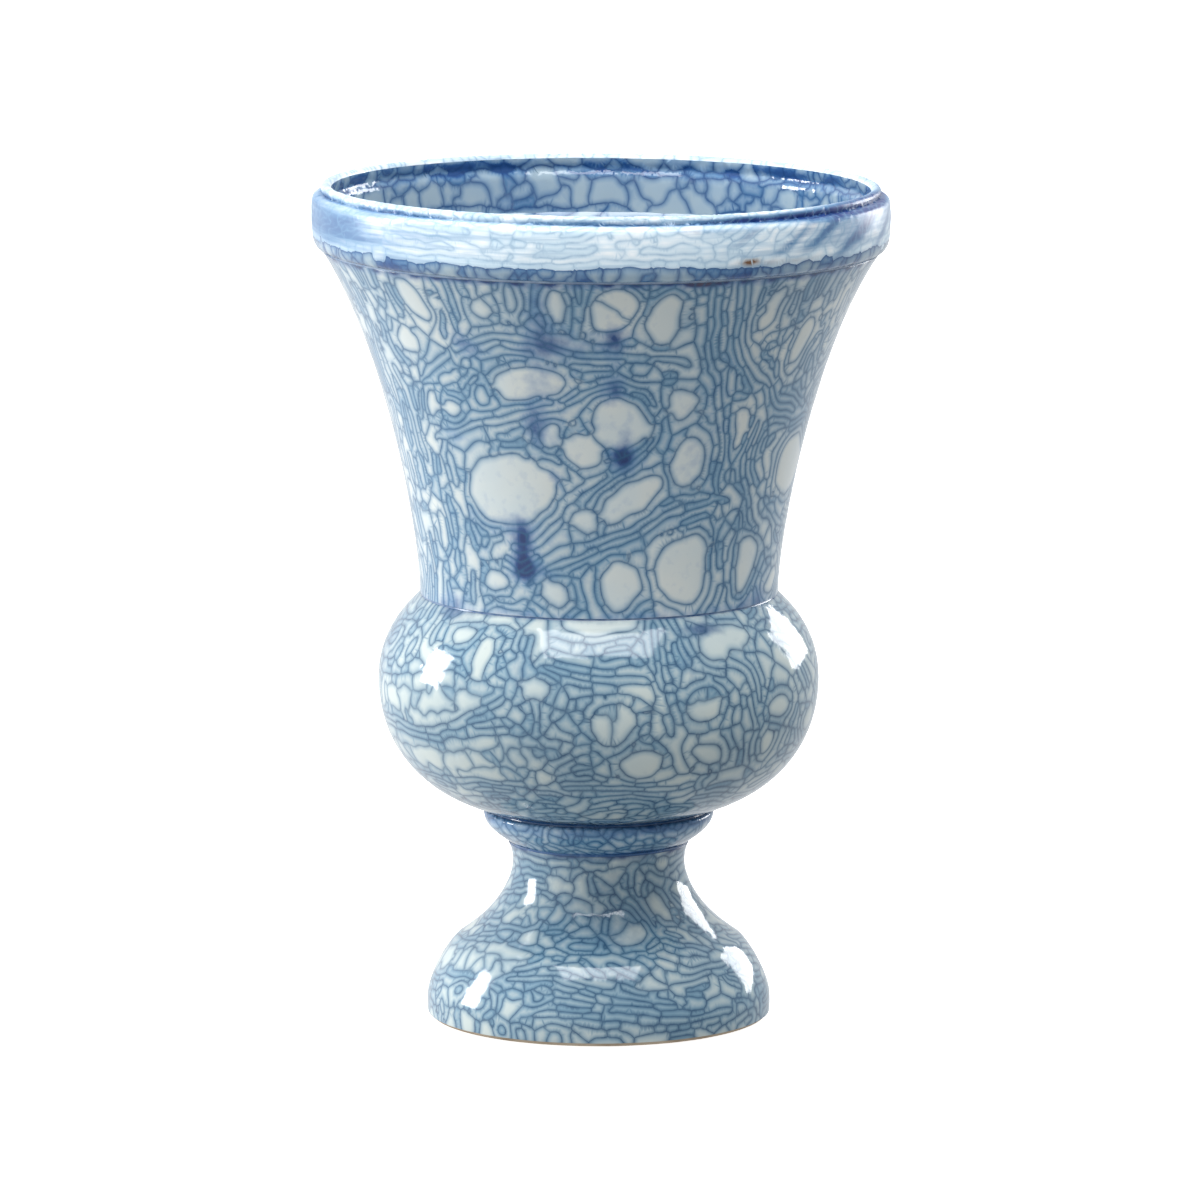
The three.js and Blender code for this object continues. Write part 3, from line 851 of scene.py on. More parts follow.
def glaze(name, pale="#cfd4d0", lit="#c6d0d1", haze="#7599b2", crack="#27577c", washed="#4379b3", cobalt="#1b3568",
          depth=0.2, weight=1.0, streaks=0.0, blocks=0.0, faint=0.0, gloss=0.09):
    """Crackle glaze on stoneware, glossy as glass. Cobalt has run into the cracks, so each shows as a
    slate line; narrow cells are stained blue from both sides, and broad ones stay pale in the middle."""
    finish = bpy.data.materials.new(name)
    finish.use_nodes = True
    tree = finish.node_tree
    shader = tree.nodes["Principled BSDF"]
    where = add_node(tree, "ShaderNodeTexCoord", out="Object")
    gap, breadth, tone, blot, iron = (add_node(tree, "ShaderNodeAttribute", out="Fac", attribute_name=name)
                                      for name in ("gap", "breadth", "tone", "blot", "iron"))
    # Cloudy differences of 20 mm in the pale glaze, finer ones of 4 mm, and streaks round the wheel
    broad = add_node(tree, "ShaderNodeTexNoise", where, 45.0, 2.0)
    fine = add_node(tree, "ShaderNodeTexNoise", where, 260.0, 3.0)
    drawn_out = add_node(tree, "ShaderNodeVectorMath", where, (30.0, 30.0, 560.0), operation="MULTIPLY")
    wheel = add_node(tree, "ShaderNodeTexNoise", drawn_out, 1.0, 3.0)
    cloud = add_node(tree, "ShaderNodeMapRange", broad, 0.35, 0.65)
    body = add_node(tree, "ShaderNodeMix", cloud, pale, lit, data_type="RGBA")
    streak = add_node(tree, "ShaderNodeMapRange", wheel, 0.42, 0.62, 0.0, streaks)
    streaked = add_node(tree, "ShaderNodeMix", streak, body, haze, data_type="RGBA")
    # The stain reaches 3 mm into a cell, and a cell under 2 mm wide is blue right across
    reach = add_node(tree, "ShaderNodeMapRange", broad, 0.3, 0.7, 1.9, 3.4)
    edge = add_node(tree, "ShaderNodeMapRange", gap, 0.0, reach, 0.66, 0.0, interpolation_type="SMOOTHSTEP")
    narrow = add_node(tree, "ShaderNodeMapRange", breadth, 0.9, 2.8, 0.5, 0.0, interpolation_type="SMOOTHSTEP")
    shade = add_node(tree, "ShaderNodeMapRange", tone, 0.0, 1.0, 0.5, 1.1)
    stain = add_node(tree, "ShaderNodeMath", narrow, shade, edge, operation="MULTIPLY_ADD", use_clamp=True)
    stained = add_node(tree, "ShaderNodeMix", stain, streaked, haze, data_type="RGBA")
    # Cobalt lies over the cells where it has gathered, light blue where it is thin and navy where it is thick
    block = add_node(tree, "ShaderNodeMapRange", tone, 0.25, 0.6, 1.0 - blocks, 1.0 + 0.3 * blocks)
    held = add_node(tree, "ShaderNodeMath", blot, block, operation="MULTIPLY")
    patchy = add_node(tree, "ShaderNodeMapRange", wheel if streaks else fine, 0.3, 0.7, -0.15 - 0.1 * streaks,
                      0.15 + 0.1 * streaks)
    gathered = add_node(tree, "ShaderNodeMath", held, patchy, operation="ADD")
    deep = add_node(tree, "ShaderNodeMapRange", gathered, depth, depth + 1.0, 0.0, 1.0)
    thin = add_node(tree, "ShaderNodeMapRange", gathered, 0.1, 0.95, 0.0, 1.0)
    ink = add_node(tree, "ShaderNodeMix", deep, washed, cobalt, data_type="RGBA")
    inked = add_node(tree, "ShaderNodeMix", thin, stained, ink, data_type="RGBA")
    rusty = add_node(tree, "ShaderNodeMix", iron, inked, "#6b4a2f", data_type="RGBA")
    # A crack is dark and fine with a soft edge on each side, and some are finer and fainter than others
    width = add_node(tree, "ShaderNodeMapRange", broad, 0.3, 0.7, 0.85 * weight, 1.7 * weight)
    near = add_node(tree, "ShaderNodeMapRange", gap, 0.0, width, 1.0, 0.0)
    strength = add_node(tree, "ShaderNodeMapRange", fine, 0.25, 0.75, 0.62 - faint, 1.0 - 0.5 * faint)
    soft = add_node(tree, "ShaderNodeMath", near, 2.3, operation="POWER")
    line = add_node(tree, "ShaderNodeMath", soft, strength, operation="MULTIPLY")
    drawn = add_node(tree, "ShaderNodeMix", line, rusty, crack, data_type="RGBA")
    tree.links.new(drawn, shader.inputs["Base Color"])
    shader.inputs["Roughness"].default_value = gloss
    shader.inputs["IOR"].default_value = 1.52
    ripple = add_node(tree, "ShaderNodeTexNoise", where, 220.0, 1.0)
    tree.links.new(add_node(tree, "ShaderNodeBump", 0.12, 0.0004, None, ripple), shader.inputs["Normal"])
    return finish


GLAZE = glaze("crackle_glaze_on_stoneware")
THICK = glaze("thick_crackle_glaze", pale="#c2cbc7", lit="#b9c5c5", haze="#7193a8", crack="#23496a",
              washed="#466f94", weight=0.93)
POOLED = glaze("pooled_crackle_glaze", pale="#c4d0d5", lit="#cbd5d8", haze="#6a94b1", crack="#23507a",
               cobalt="#2a4f7c", weight=0.9)
BANDS = bands(3.2, 2.0, 3.0, 1.9, 3.4, 2.4, 2.0, 3.3)
FINE_BANDS = bands(2.3, 2.2, 2.5, 2.4)
WIDE_BANDS = bands(3.0, 3.5, 2.4, 4.2)
FOOT_BASE, DOME_HEIGHT, SWEEP_HEIGHT, FLARE_HEIGHT = 6.8, 22.2, 28.2, 6.8
STEM_RADIUS, STEM_TOP = 31.4, 32.9
dome_width = 0.36 * (FOOT_RADIUS - STEM_RADIUS)
foot_shoulder = (FOOT_RADIUS - dome_width, FOOT_BASE + DOME_HEIGHT)
stem = (STEM_RADIUS, FOOT_BASE + DOME_HEIGHT + SWEEP_HEIGHT)
foot_top = FOOT_BASE + DOME_HEIGHT + SWEEP_HEIGHT + FLARE_HEIGHT
foot_curves = path(
    curve((FOOT_RADIUS, FOOT_BASE), (0, 0.3 * DOME_HEIGHT), (0.34 * dome_width, -0.117 * DOME_HEIGHT),
          foot_shoulder, 40),
    curve(foot_shoulder, (-0.77 * (foot_shoulder[0] - STEM_RADIUS), 0.363 * SWEEP_HEIGHT),
          (0, -0.23 * SWEEP_HEIGHT), stem, 50),
    curve(stem, (0, 0.6 * FLARE_HEIGHT), (0, 0), (STEM_TOP, foot_top), 14))
# The glaze runs down over the ring and stops just short of the shelf
foot_face = Surface(path((FOOT_RADIUS - 0.15, 1.5), (FOOT_RADIUS, 2.6), foot_curves))


def inset(outer, wall):
    """The inner face of a wall, walked down."""
    return (outer - wall * facing(outer))[::-1]


def between(points, low, high):
    return points[(points[:, 1] > low) & (points[:, 1] < high)]


foot_shapes = [
    strip(foot_face, 7.5, (-100, 22), (-74, 24), (-48, 27), cut=(3, 9)),
    strip(foot_face, 5.0, (-84, 40), (-58, 42), (-38, 44), cut=(3, 9)),
    island(foot_face, 13.7, 38.4, 7.0, 6.4, chords=((30, 0.5), (100, -0.6))), island(foot_face, -22.0, 44.0, 3.2, 4.6, 20),
    island(foot_face, 38.0, 45.0, 3.2, 5.0, -20), island(foot_face, -8.0, 33.0, 6.4, 2.6, -14),
    strip(foot_face, 1.1, (-36, 22), (-15, 24), (10, 19), (32, 13)),
    strip(foot_face, 1.1, (-20, 10), (5, 12), (30, 8), (50, 9)), strip(foot_face, 1.1, (24, 28), (38, 24), (58, 26)),
    strip(foot_face, 1.6, *[(right, 61.0) for right in range(-180, 181, 20)], cut=(4, 9)),
    strip(foot_face, 1.1, (-6, 57), (-3, 50), (6, 46)), strip(foot_face, 1.1, (26, 60), (24, 50), (30, 40), (44, 34)),
]
FOOT_ZONES = [
    (lambda right, height: right < -12 and right > -100 and height < 44, (1.3, 2.6), (1.0, 1.7), (-60, 60), 0.5, 3.4,
     0.0, (3, 8)),
    (lambda right, height: height < 24, (1.1, 1.8), (3.0, 8.0), (-30, 16), 0.0, 4.2, 0.5, (6, 26)),
    (lambda right, height: height > 48, (1.2, 2.0), (2.0, 4.0), (-20, 20), 0.85, 4.4, 0.6, (8, 26)),
    (lambda right, height: True, (1.4, 2.4), (1.6, 3.4), (-60, 60), 0.4, 5.0, 0.75, (5, 20)),
]
foot_rng = np.random.default_rng(17)
foot_blots = blots_on(foot_face, [(10, 40, 26.0, 12.0, -6, 0.34), (34, 30, 20.0, 4.0, -12, 0.2)])
foot_net = crackle(foot_face, foot_rng, scatter(foot_face, foot_rng, foot_shapes, FOOT_ZONES, 2500),
                   bands(2.4, 2.9, 2.2, 3.2), fill=2.8, cut=(5, 24), blots=foot_blots,
                   washes=((foot_face.length, 2.0, 0.8), (foot_face.length - 9, 4.0, 0.12)))
stem_seam = seam(STEM_RADIUS - FOOT_WALL, STEM_TOP, foot_top + SLIP_BED)
foot_inside = between(inset(path(foot_curves[:91]), FOOT_WALL), foot_seam["lower_edge"][0][1], stem[1])
turn("pedestal_foot_glazed",
     [foot_net, plain_run(stem_seam["upper_edge"]), plain_run(path((stem_seam["bore"], stem[1]), foot_inside)[::3]),
      plain_run([(foot_inside[-1][0], foot_seam["lower_edge"][0][1]), *foot_seam["lower_edge"][1:],
                 (FOOT_RADIUS - 0.25, FOOT_BASE), (FOOT_RADIUS - 0.25, 1.5)])],
     THICK, CLAY, ["pedestal_foot"])


# STEM SLIP AND RING MOULDING
# A turned ring that hides the joint of foot and bowl, an ovolo under a narrow ledge. It is luted on with
# slip, and the glaze runs off it into the crease below, where it gathers deep blue.

def bead(name, node, low, high, inner, blot=1.0):
    """The bead of slip in a seam, from its lower to its upper corner, drawn in a little."""
    low, high = np.array(low, float), np.array(high, float)
    t = np.linspace(0, 1, 9)[:, None]
    out = low + (high - low) * t
    out[:, 0] -= 0.22 * np.sin(math.pi * t[:, 0])
    inside = [(inner, high[1]), (inner, low[1])]
    shell = plain_run(path(out, inside), coat=0, blot=blot)
    return turn(name, [shell], POOLED, POOLED, [node], swell=0.0)


COLLAR_RADIUS, COLLAR_HEIGHT, COLLAR_ROUND, COLLAR_LEDGE = 42.0, 11.4, 1.0, 3.4
collar_base = foot_top + SLIP_BED
collar_top = collar_base + COLLAR_HEIGHT
bead("stem_slip_bead", "stem_slip", (STEM_TOP - 0.1, foot_top - 0.3), (STEM_TOP + 0.3, collar_base + 0.3),
     stem_seam["rebate"])
collar_face = Surface(path(
    curve((STEM_TOP, collar_base), (0.5 * 9.1, 0.3 * 10.4), (0, -0.4 * 10.4),
          (COLLAR_RADIUS, collar_top - COLLAR_ROUND), 16),
    round_off((COLLAR_RADIUS, collar_top - COLLAR_ROUND), (COLLAR_RADIUS - COLLAR_ROUND, collar_top), True),
    (COLLAR_RADIUS - COLLAR_LEDGE, collar_top)))
collar_rng = np.random.default_rng(23)
COLLAR_ZONES = [(lambda right, height: True, (1.6, 2.6), (1.2, 2.6), (-25, 25), 0.3, 2.8, 0.2, (3, 10))]
# The two washes at the top edge darken the ledge under the bowl: pooled cobalt and partly painted shade. The one at the
# foot is cobalt in the crease
collar_net = crackle(collar_face, collar_rng, scatter(collar_face, collar_rng, [], COLLAR_ZONES, 500), FINE_BANDS,
                     spacing=1.0, fill=2.0, washes=((0, 1.8, 0.9), (collar_face.length, 3.4, 0.75), (collar_face.length - 5, 2.0, 0.5)))
bowl_bed = COLLAR_RADIUS - COLLAR_LEDGE
bowl_seam = seam(STEM_RADIUS - FOOT_WALL, bowl_bed, collar_top + SLIP_BED)
turn("ring_moulding_glazed",
     [collar_net, plain_run(bowl_seam["upper_edge"]),
      plain_run([(stem_seam["bore"], collar_top), *stem_seam["lower_edge"]])],
     POOLED, CLAY, ["stem_collar"])


# COLLAR SLIP AND BOWL
# The round body with its closed floor, thrown thick and turned down outside when leather-hard. It sits
# in slip on the ledge of the moulding, and the glaze fills the crease between them, where its deep blue is partly
# painted shade.

bead("collar_slip_bead", "collar_slip", (bowl_bed + 1.3, collar_top - 0.1), (bowl_bed + 1.5, collar_top + 1.0),
     bowl_seam["rebate"])
BOWL_RADIUS, BELLY_HEIGHT, SHOULDER_HEIGHT, BOWL_WALL = 80.2, 48.3, 30.7, 6.0
BOWL_FLOOR, BOWL_FLOOR_RADIUS, WAIST_RADIUS = 9.0, 32.0, 65.1
bowl_base = collar_top + SLIP_BED
widest = (BOWL_RADIUS, bowl_base + BELLY_HEIGHT)
waist = (WAIST_RADIUS, bowl_base + BELLY_HEIGHT + SHOULDER_HEIGHT)
bowl_face = Surface(path(
    curve((bowl_bed, bowl_base), (0.43 * (BOWL_RADIUS - bowl_bed), 0.062 * BELLY_HEIGHT),
          (0, -0.644 * BELLY_HEIGHT), widest, 60),
    curve(widest, (0, 0.51 * SHOULDER_HEIGHT), (0.38 * (BOWL_RADIUS - WAIST_RADIUS), -0.17 * SHOULDER_HEIGHT),
          waist, 40)))
bowl_shapes = [
    strip(bowl_face, 8.5, (-104, 124), (-78, 122), (-56, 124), (-42, 128), cut=(2.6, 8)),
    strip(bowl_face, 8.0, (-96, 104), (-66, 102), (-38, 104), (-24, 108), cut=(2.6, 8)),
    island(bowl_face, -32.5, 142.1, 2.8, 8.4, 4), island(bowl_face, -42.4, 149.3, 5.6, 3.6),
    island(bowl_face, 4.2, 121.3, 8.2, 7.6, chords=((80, 0.6), (-20, 0.5))),
    island(bowl_face, 27.7, 127.4, 8.6, 7.8, chords=((10, 0.5), (80, -1.5))),
    island(bowl_face, 39.4, 147.3, 11.6, 5.2, -8), island(bowl_face, -17.1, 132.7, 4.4, 4.0),
    island(bowl_face, 12.3, 105.2, 8.4, 4.9), island(bowl_face, 54.5, 123.1, 5.4, 4.6, 10),
    island(bowl_face, 51.3, 109.7, 4.2, 4.8, 15), island(bowl_face, 0.4, 158.5, 14.0, 6.0),
    island(bowl_face, 30.0, 108.0, 6.0, 3.6, 12),
    strip(bowl_face, 1.1, (-20, 151), (-19, 138), (-17, 124), (-16, 108)),
    strip(bowl_face, 1.1, (-14, 141), (0, 138), (14, 136), (17, 124), (20, 114)),
    strip(bowl_face, 1.1, (17, 154), (15, 142), (15, 134)),
    strip(bowl_face, 1.1, (-10, 96), (8, 96), (28, 97)), strip(bowl_face, 1.1, (30, 153), (44, 138), (46, 126)),
]
BOWL_ZONES = [
    (lambda right, height: height > 138, (1.3, 2.6), (1.6, 3.6), (-30, 30), 0.3, 5.5, 0.6, (6, 26)),
    (lambda right, height: height < 96, (1.1, 1.8), (2.0, 5.0), (-30, 30), 0.0, 4.0, 0.4, (3, 12)),
    (lambda right, height: abs(right) < 60, (1.6, 3.0), (1.6, 3.6), (-60, 60), 0.5, 16.0, 0.8, (7, 26)),
    (lambda right, height: 100 < right < 170, (4.0, 8.0), (1.2, 2.0), (-40, 40), 0.4, 9.0, 1.0, (4, 12)),
    (lambda right, height: True, (1.6, 6.0), (1.0, 2.4), (-60, 60), 0.5, 7.5, 0.6, (5, 24)),
]
bowl_rng = np.random.default_rng(29)
# Cobalt blots. The ones at 66 and -52 degrees by the waist are painted shade, a dark reflection beside the highlights
# there, and the one at -80 degrees is a painted bluish cast of the light on the left edge
bowl_blots = blots_on(bowl_face, [(32, 152.0, 9.0, 3.0, 0, 0.9), (24, 142, 5.0, 8.0, 0, 0.3),
                                  (-21, 140, 4.0, 10.0, 0, 0.3), (4, 92, 40.0, 5.0, 0, 0.2),
                                  (66, 150.0, 8.0, 7.0, 0, 0.8), (-52, 154.5, 9.0, 3.0, 0, 0.7),
                                  (-80, 140, 9.0, 12.0, 0, 0.4)])
# The wash at the bowl's foot is pooled cobalt and partly painted shade where the belly turns under
bowl_net = crackle(bowl_face, bowl_rng, scatter(bowl_face, bowl_rng, bowl_shapes, BOWL_ZONES, 3000), WIDE_BANDS,
                   fill=2.9, cut=(6, 30), blots=bowl_blots, washes=((0, 4.5, 0.9), (bowl_face.length, 1.2, 0.35)))
NECK_WALL = 5.6
waist_seam = seam(WAIST_RADIUS - NECK_WALL, WAIST_RADIUS, waist[1] + SLIP_BED)
floor_height = bowl_base + BOWL_FLOOR
bowl_inside = between(inset(bowl_face.points, BOWL_WALL), floor_height + 1.0, waist[1])
bowl_inside = bowl_inside[bowl_inside[:, 0] > BOWL_FLOOR_RADIUS + 2]
inside_face = Surface(path((waist_seam["bore"], waist[1] + SPIGOT), bowl_inside, (BOWL_FLOOR_RADIUS, floor_height),
                           np.linspace((BOWL_FLOOR_RADIUS, floor_height), (12, floor_height), 12)))
INSIDE = glaze("blue_stained_crackle_glaze", pale="#a9bbc4", lit="#9db3c2", haze="#557fa8", crack="#1b4377",
               washed="#5083b2", cobalt="#27508a", weight=1.0, blocks=0.7)
INSIDE_ZONES = [(lambda right, height: True, (2.5, 6.0), (1.0, 1.8), (-60, 60), 0.5, 6.0, 0.3, (6, 30))]
inside_net = crackle(inside_face, bowl_rng, scatter(inside_face, bowl_rng, [], INSIDE_ZONES, 700), BANDS,
                     spacing=1.7, fill=3.4, grid=0.9, inside=lambda along: along > -1)
turn("bowl_glazed",
     [plain_run(np.linspace((6, bowl_seam["lower_edge"][0][1]), bowl_seam["lower_edge"][1], 6)),
      plain_run(bowl_seam["lower_edge"][2:]), bowl_net, plain_run(waist_seam["upper_edge"]), inside_net],
     THICK, CLAY, ["bowl"], inside=INSIDE, poles=(bowl_seam["lower_edge"][0][1], floor_height))


# WAIST SLIP AND FLARED NECK
# The long trumpet neck, thrown as an open cylinder and bellied out at the top. It drops over the bowl's
# spigot on a bed of slip, and the glaze pools in the crease round the waist.

bead("waist_slip_bead", "waist_slip", (WAIST_RADIUS - 0.15, waist[1] - 0.05),
     (WAIST_RADIUS - 0.2, waist[1] + 0.9), waist_seam["rebate"], blot=0.8)
NECK_HEIGHT, NECK_TOP = 124.6, 100.7
neck_base = waist[1] + SLIP_BED
neck_end = neck_base + NECK_HEIGHT
widening = NECK_TOP - WAIST_RADIUS
neck_face = Surface(curve((WAIST_RADIUS, neck_base), (0, 0.136 * NECK_HEIGHT),
                          (-0.69 * widening, -0.304 * NECK_HEIGHT), (NECK_TOP, neck_end), 110))
LONG = (16, 80)
neck_shapes = [
    island(neck_face, -44.7, 272.5, 5.6, 8.4, -25, cut=LONG), island(neck_face, -51.7, 255.0, 5.8, 4.4),
    island(neck_face, -26.7, 270.7, 3.2, 3.8), island(neck_face, -9.4, 272.7, 2.9, 7.2),
    island(neck_face, 2.6, 271.4, 8.4, 8.8, chords=((-38, 0.5),), cut=LONG), island(neck_face, 14.9, 267.9, 4.9, 11.0, 6),
    strip(neck_face, 1.2, (23.0, 281), (23.5, 268), (25.0, 258), (30.0, 246), (31.6, 232), (34.5, 217), (35.7, 200)),
    strip(neck_face, 1.2, (31.0, 281), (32.5, 268), (36.0, 256), (43.0, 243), (52.0, 234), (64.0, 229), cut=LONG),
    island(neck_face, 41.0, 268.8, 3.0, 9.0, 8), island(neck_face, 55.0, 255.2, 5.2, 10.6, 4, cut=LONG),
    island(neck_face, -18.3, 243.0, 13.4, 7.0, -8, cut=LONG), island(neck_face, -30.9, 237.0, 3.4, 4.0),
    strip(neck_face, 1.2, (-49.4, 243.5), (-36, 254.5), (-25.3, 260.5), (-16.3, 260.5), (-6, 257.0), (4, 254.4),
          (14, 253.4), (22, 251.5), cut=LONG),
    strip(neck_face, 1.2, (-49.0, 219.5), (-38, 224.5), (-31.0, 227.3), (-20, 231.5), (-12.9, 234.2), (-4, 238.8),
          (4.0, 242.4), (11.6, 240.2), (15.0, 232.0), (14.4, 222.5), (9.2, 212.6), (-0.1, 204.6), (-9.9, 193.0),
          (-18.0, 185.3), (-27, 182.3), cut=LONG),
    island(neck_face, -48.2, 233.2, 3.8, 6.0, 8), island(neck_face, -41.2, 232.2, 3.6, 3.6),
    island(neck_face, 8.6, 249.2, 4.4, 2.4), island(neck_face, 21.4, 236.0, 6.4, 6.6, cut=(8, 40)),
    island(neck_face, 5.8, 228.9, 8.8, 9.8, -20, cut=LONG), island(neck_face, -5.0, 218.9, 7.4, 7.4, 20, cut=LONG),
    island(neck_face, -13.0, 226.0, 3.4, 4.2, 30, cut=LONG),
    island(neck_face, -27.2, 203.5, 17.8, 13.8, -10, cut=LONG), island(neck_face, -12.6, 211.6, 2.4, 7.6, -42, cut=LONG),
    island(neck_face, 8.0, 200.6, 4.2, 14.6, 52, cut=LONG), island(neck_face, -4.7, 193.4, 4.2, 3.6, 30, cut=(8, 30)),
    strip(neck_face, 1.2, (-22, 169.5), (-18.4, 172.8), (-9, 178.5), (-0.1, 182.7), (8, 187.2), (16.2, 191.7),
          (27.6, 197.2), (40, 198.3), cut=LONG),
    island(neck_face, 25.0, 213.3, 5.4, 8.6, 8, cut=(8, 40)), island(neck_face, 39.5, 223.8, 3.4, 8.0),
    island(neck_face, 26.9, 173.2, 10.4, 12.4, cut=LONG), island(neck_face, 7.0, 169.1, 7.6, 9.6, 20, cut=(8, 40)),
    island(neck_face, -14.1, 165.2, 5.8, 4.2, 20), island(neck_face, -34.1, 169.0, 5.0, 4.0),
    island(neck_face, 70.8, 206.6, 13.4, 8.8, 6, cut=LONG), island(neck_face, 52.0, 173.3, 5.4, 10.2, 6, cut=(8, 40)),
    strip(neck_face, 1.2, (45.0, 226), (44.9, 215), (47.4, 201.0), (52.5, 188.7), (60.3, 182.3)),
    island(neck_face, -55.0, 186.0, 2.4, 7.0), island(neck_face, -62.0, 205.0, 2.2, 6.0, -6),
]
NECK_ZONES = [
    (lambda right, height: -90 < right < -40 and height < 250, (1.0, 1.8), (5.0, 12.0), (-14, 8), 1.0, 3.0, 0.3, (8, 36)),
    (lambda right, height: height > 262, (1.1, 2.0), (3.0, 7.0), (-8, 8), 1.0, 3.6, 0.2, (10, 40)),
    (lambda right, height: abs(right) < 62, (1.5, 2.6), (1.2, 2.8), (-50, 50), 0.5, 8.5, 0.65, (8, 34)),
    (lambda right, height: True, (1.6, 9.0), (1.0, 2.0), (-60, 60), 0.6, 7.5, 0.5, (8, 60)),
]
neck_rng = np.random.default_rng(41)
# Cobalt drops and the smears that they left as they ran, and scallops of it under the rim. The two blots at the neck's
# foot, 60 and -54 degrees, are painted shade beside the highlights at the waist
neck_blots = blots_on(neck_face, [
    (6.4, 216.2, 4.6, 4.8, 0, 1.2), (6.8, 223.0, 3.4, 8.0, 0, 0.25), (-23.9, 173.2, 4.8, 4.2, 0, 1.1),
    (-23.7, 183.5, 3.9, 8.6, 0, 1.05), (-19.0, 174.5, 7.0, 2.8, 20, 0.4), (-28.0, 190.0, 10.0, 3.0, 0, 0.2),
    (3.1, 260.8, 4.4, 5.6, 0, 0.7), (3.3, 241.5, 4.4, 4.6, 0, 0.65), (3.2, 251.0, 3.4, 12.0, 0, 0.22),
    (-17.2, 228.0, 3.8, 7.0, 0, 0.72), (-14.6, 243.0, 5.0, 16.0, 0, 0.2), (-12.8, 260.0, 9.0, 5.4, -8, 0.55),
    (-7.0, 257.0, 22.0, 3.6, -8, 0.25), (-13.7, 272.0, 4.0, 11.0, 0, 0.4), (-33.2, 256.9, 7.0, 4.4, 30, 0.6),
    (-12.4, 208.2, 1.8, 4.0, -40, 0.5), (-43.0, 222.0, 9.0, 3.0, 10, 0.25), (21.0, 282.0, 6.0, 2.4, 0, 0.8),
    (-12.0, 248.0, 18.0, 30.0, 0, 0.14), (30.0, 236.0, 12.0, 40.0, 8, 0.12), (-32.0, 186.0, 24.0, 12.0, 0, 0.12),
    # The last two are painted shade beside the waist highlights
    (14.0, 200.0, 60.0, 50.0, 0, 0.06), (60.0, 159.0, 8.0, 4.0, 0, 0.6), (-54.0, 159.0, 9.0, 3.4, 0, 0.55),
    *[(right, 281.6, 3.0, 1.7, 0, 0.65) for right in range(-179, 179, 6)],
])
neck_net = crackle(neck_face, neck_rng, scatter(neck_face, neck_rng, neck_shapes, NECK_ZONES, 3000), BANDS,
                   blots=neck_blots, washes=((0, 1.6, 0.35), (neck_face.length, 2.2, 0.6)),
                   specks=blots_on(neck_face, [(21.0, 282.0, 5.0, 2.0, 0, 0.45)]))
neck_inset = inset(neck_face.points, NECK_WALL)
rim_seam = seam(neck_inset[0][0], NECK_TOP, neck_end + SLIP_BED)
# The glaze bridges the seam to the bowl inside
throat_face = Surface(path((rim_seam["bore"], neck_end + SPIGOT),
                           between(neck_inset, waist_seam["lower_edge"][0][1], neck_end),
                           (waist_seam["bore"] - 0.15, waist[1] + SPIGOT - 0.8)))
# Between the islands lie belts of many-sided cells
throat_shapes = [strip(throat_face, 8.0, *[(right, height + 3 * math.sin(right / 20)) for right in range(-180, 181, 20)],
                       cut=(7, 17)) for height in (268, 243, 200)]
THROAT_ZONES = [(lambda right, height: True, (2.4, 5.0), (1.0, 2.2), (-60, 60), 0.5, 6.5, 0.35, (8, 34))]
throat_net = crackle(throat_face, neck_rng, scatter(throat_face, neck_rng, throat_shapes, THROAT_ZONES, 1500),
                     bands(4.4, 3.0, 5.0, 3.6), spacing=1.8, fill=3.8, grid=0.8, inside=lambda along: along > -1)
turn("flared_neck_glazed",
     [neck_net, plain_run(rim_seam["upper_edge"][:2] + [(rim_seam["bore"] + 0.3, neck_end + SPIGOT)]),
      throat_net, plain_run(waist_seam["lower_edge"])],
     GLAZE, CLAY, ["flared_neck"], inside=INSIDE)


# RIM SLIP AND RIM BAND
# A heavy rolled band with a thin lip on top and a shallow groove inside, thrown as a ring and luted on
# last. The glaze is thin over its edges and near white, partly its own colour and partly a painted sheen of the light
# from above, and deep blue in its groove.

bead("rim_slip_bead", "rim_slip", (NECK_TOP - 0.2, neck_end - 0.3), (NECK_TOP + 0.3, neck_end + SLIP_BED + 0.2),
     rim_seam["rebate"], blot=0.6)
RIM_HEIGHT, RIM_CORNER, RIM_UNDER, RIM_SHOULDER, RIM_BARREL = 23.1, 3.6, 6.0, 2.2, 0.35
LIP_RADIUS, LIP_WIDTH, LIP_HEIGHT, LIP_STEP = 101.2, 3.6, 3.2, 0.6
rim_base = neck_end + SLIP_BED
top = rim_base + RIM_HEIGHT
rim_radius = 104.4
rim_low, rim_high = rim_base + RIM_UNDER, top - LIP_HEIGHT - RIM_SHOULDER
rise = 0.35 * (rim_high - rim_low)
lip_inside = LIP_RADIUS - LIP_WIDTH
rim_face = Surface(path(
    round_off((rim_radius - RIM_CORNER, rim_base), (rim_radius, rim_low), False, 8),
    curve((rim_radius, rim_low), (RIM_BARREL, rise), (RIM_BARREL, -rise), (rim_radius, rim_high), 20),
    round_off((rim_radius, rim_high), (LIP_RADIUS - LIP_STEP, top - LIP_HEIGHT), True, 8),
    round_off((LIP_RADIUS, top - LIP_HEIGHT / 2), (LIP_RADIUS - LIP_WIDTH / 2, top), True, 8),
    round_off((LIP_RADIUS - LIP_WIDTH / 2, top), (lip_inside, top - LIP_HEIGHT / 2), False, 8)))
under_lip = rim_face.at(LIP_RADIUS - LIP_STEP, top - LIP_HEIGHT)
face_middle = 0.5 * (rim_low + rim_high)
RIM_ZONES = [
    (lambda right, height: 16 < right < 120 and height < top - 4, (1.2, 1.8), (4.0, 9.0), (52, 70), 1.0, 3.4, 0.5, (10, 50)),
    (lambda right, height: height < top - 4, (1.0, 1.7), (7.0, 16.0), (-7, 5), 0.0, 3.8, 0.2, (20, 80)),
    (lambda right, height: True, (1.5, 2.4), (1.0, 2.6), (-24, 16), 0.3, 3.2, 0.2, (4, 16))]
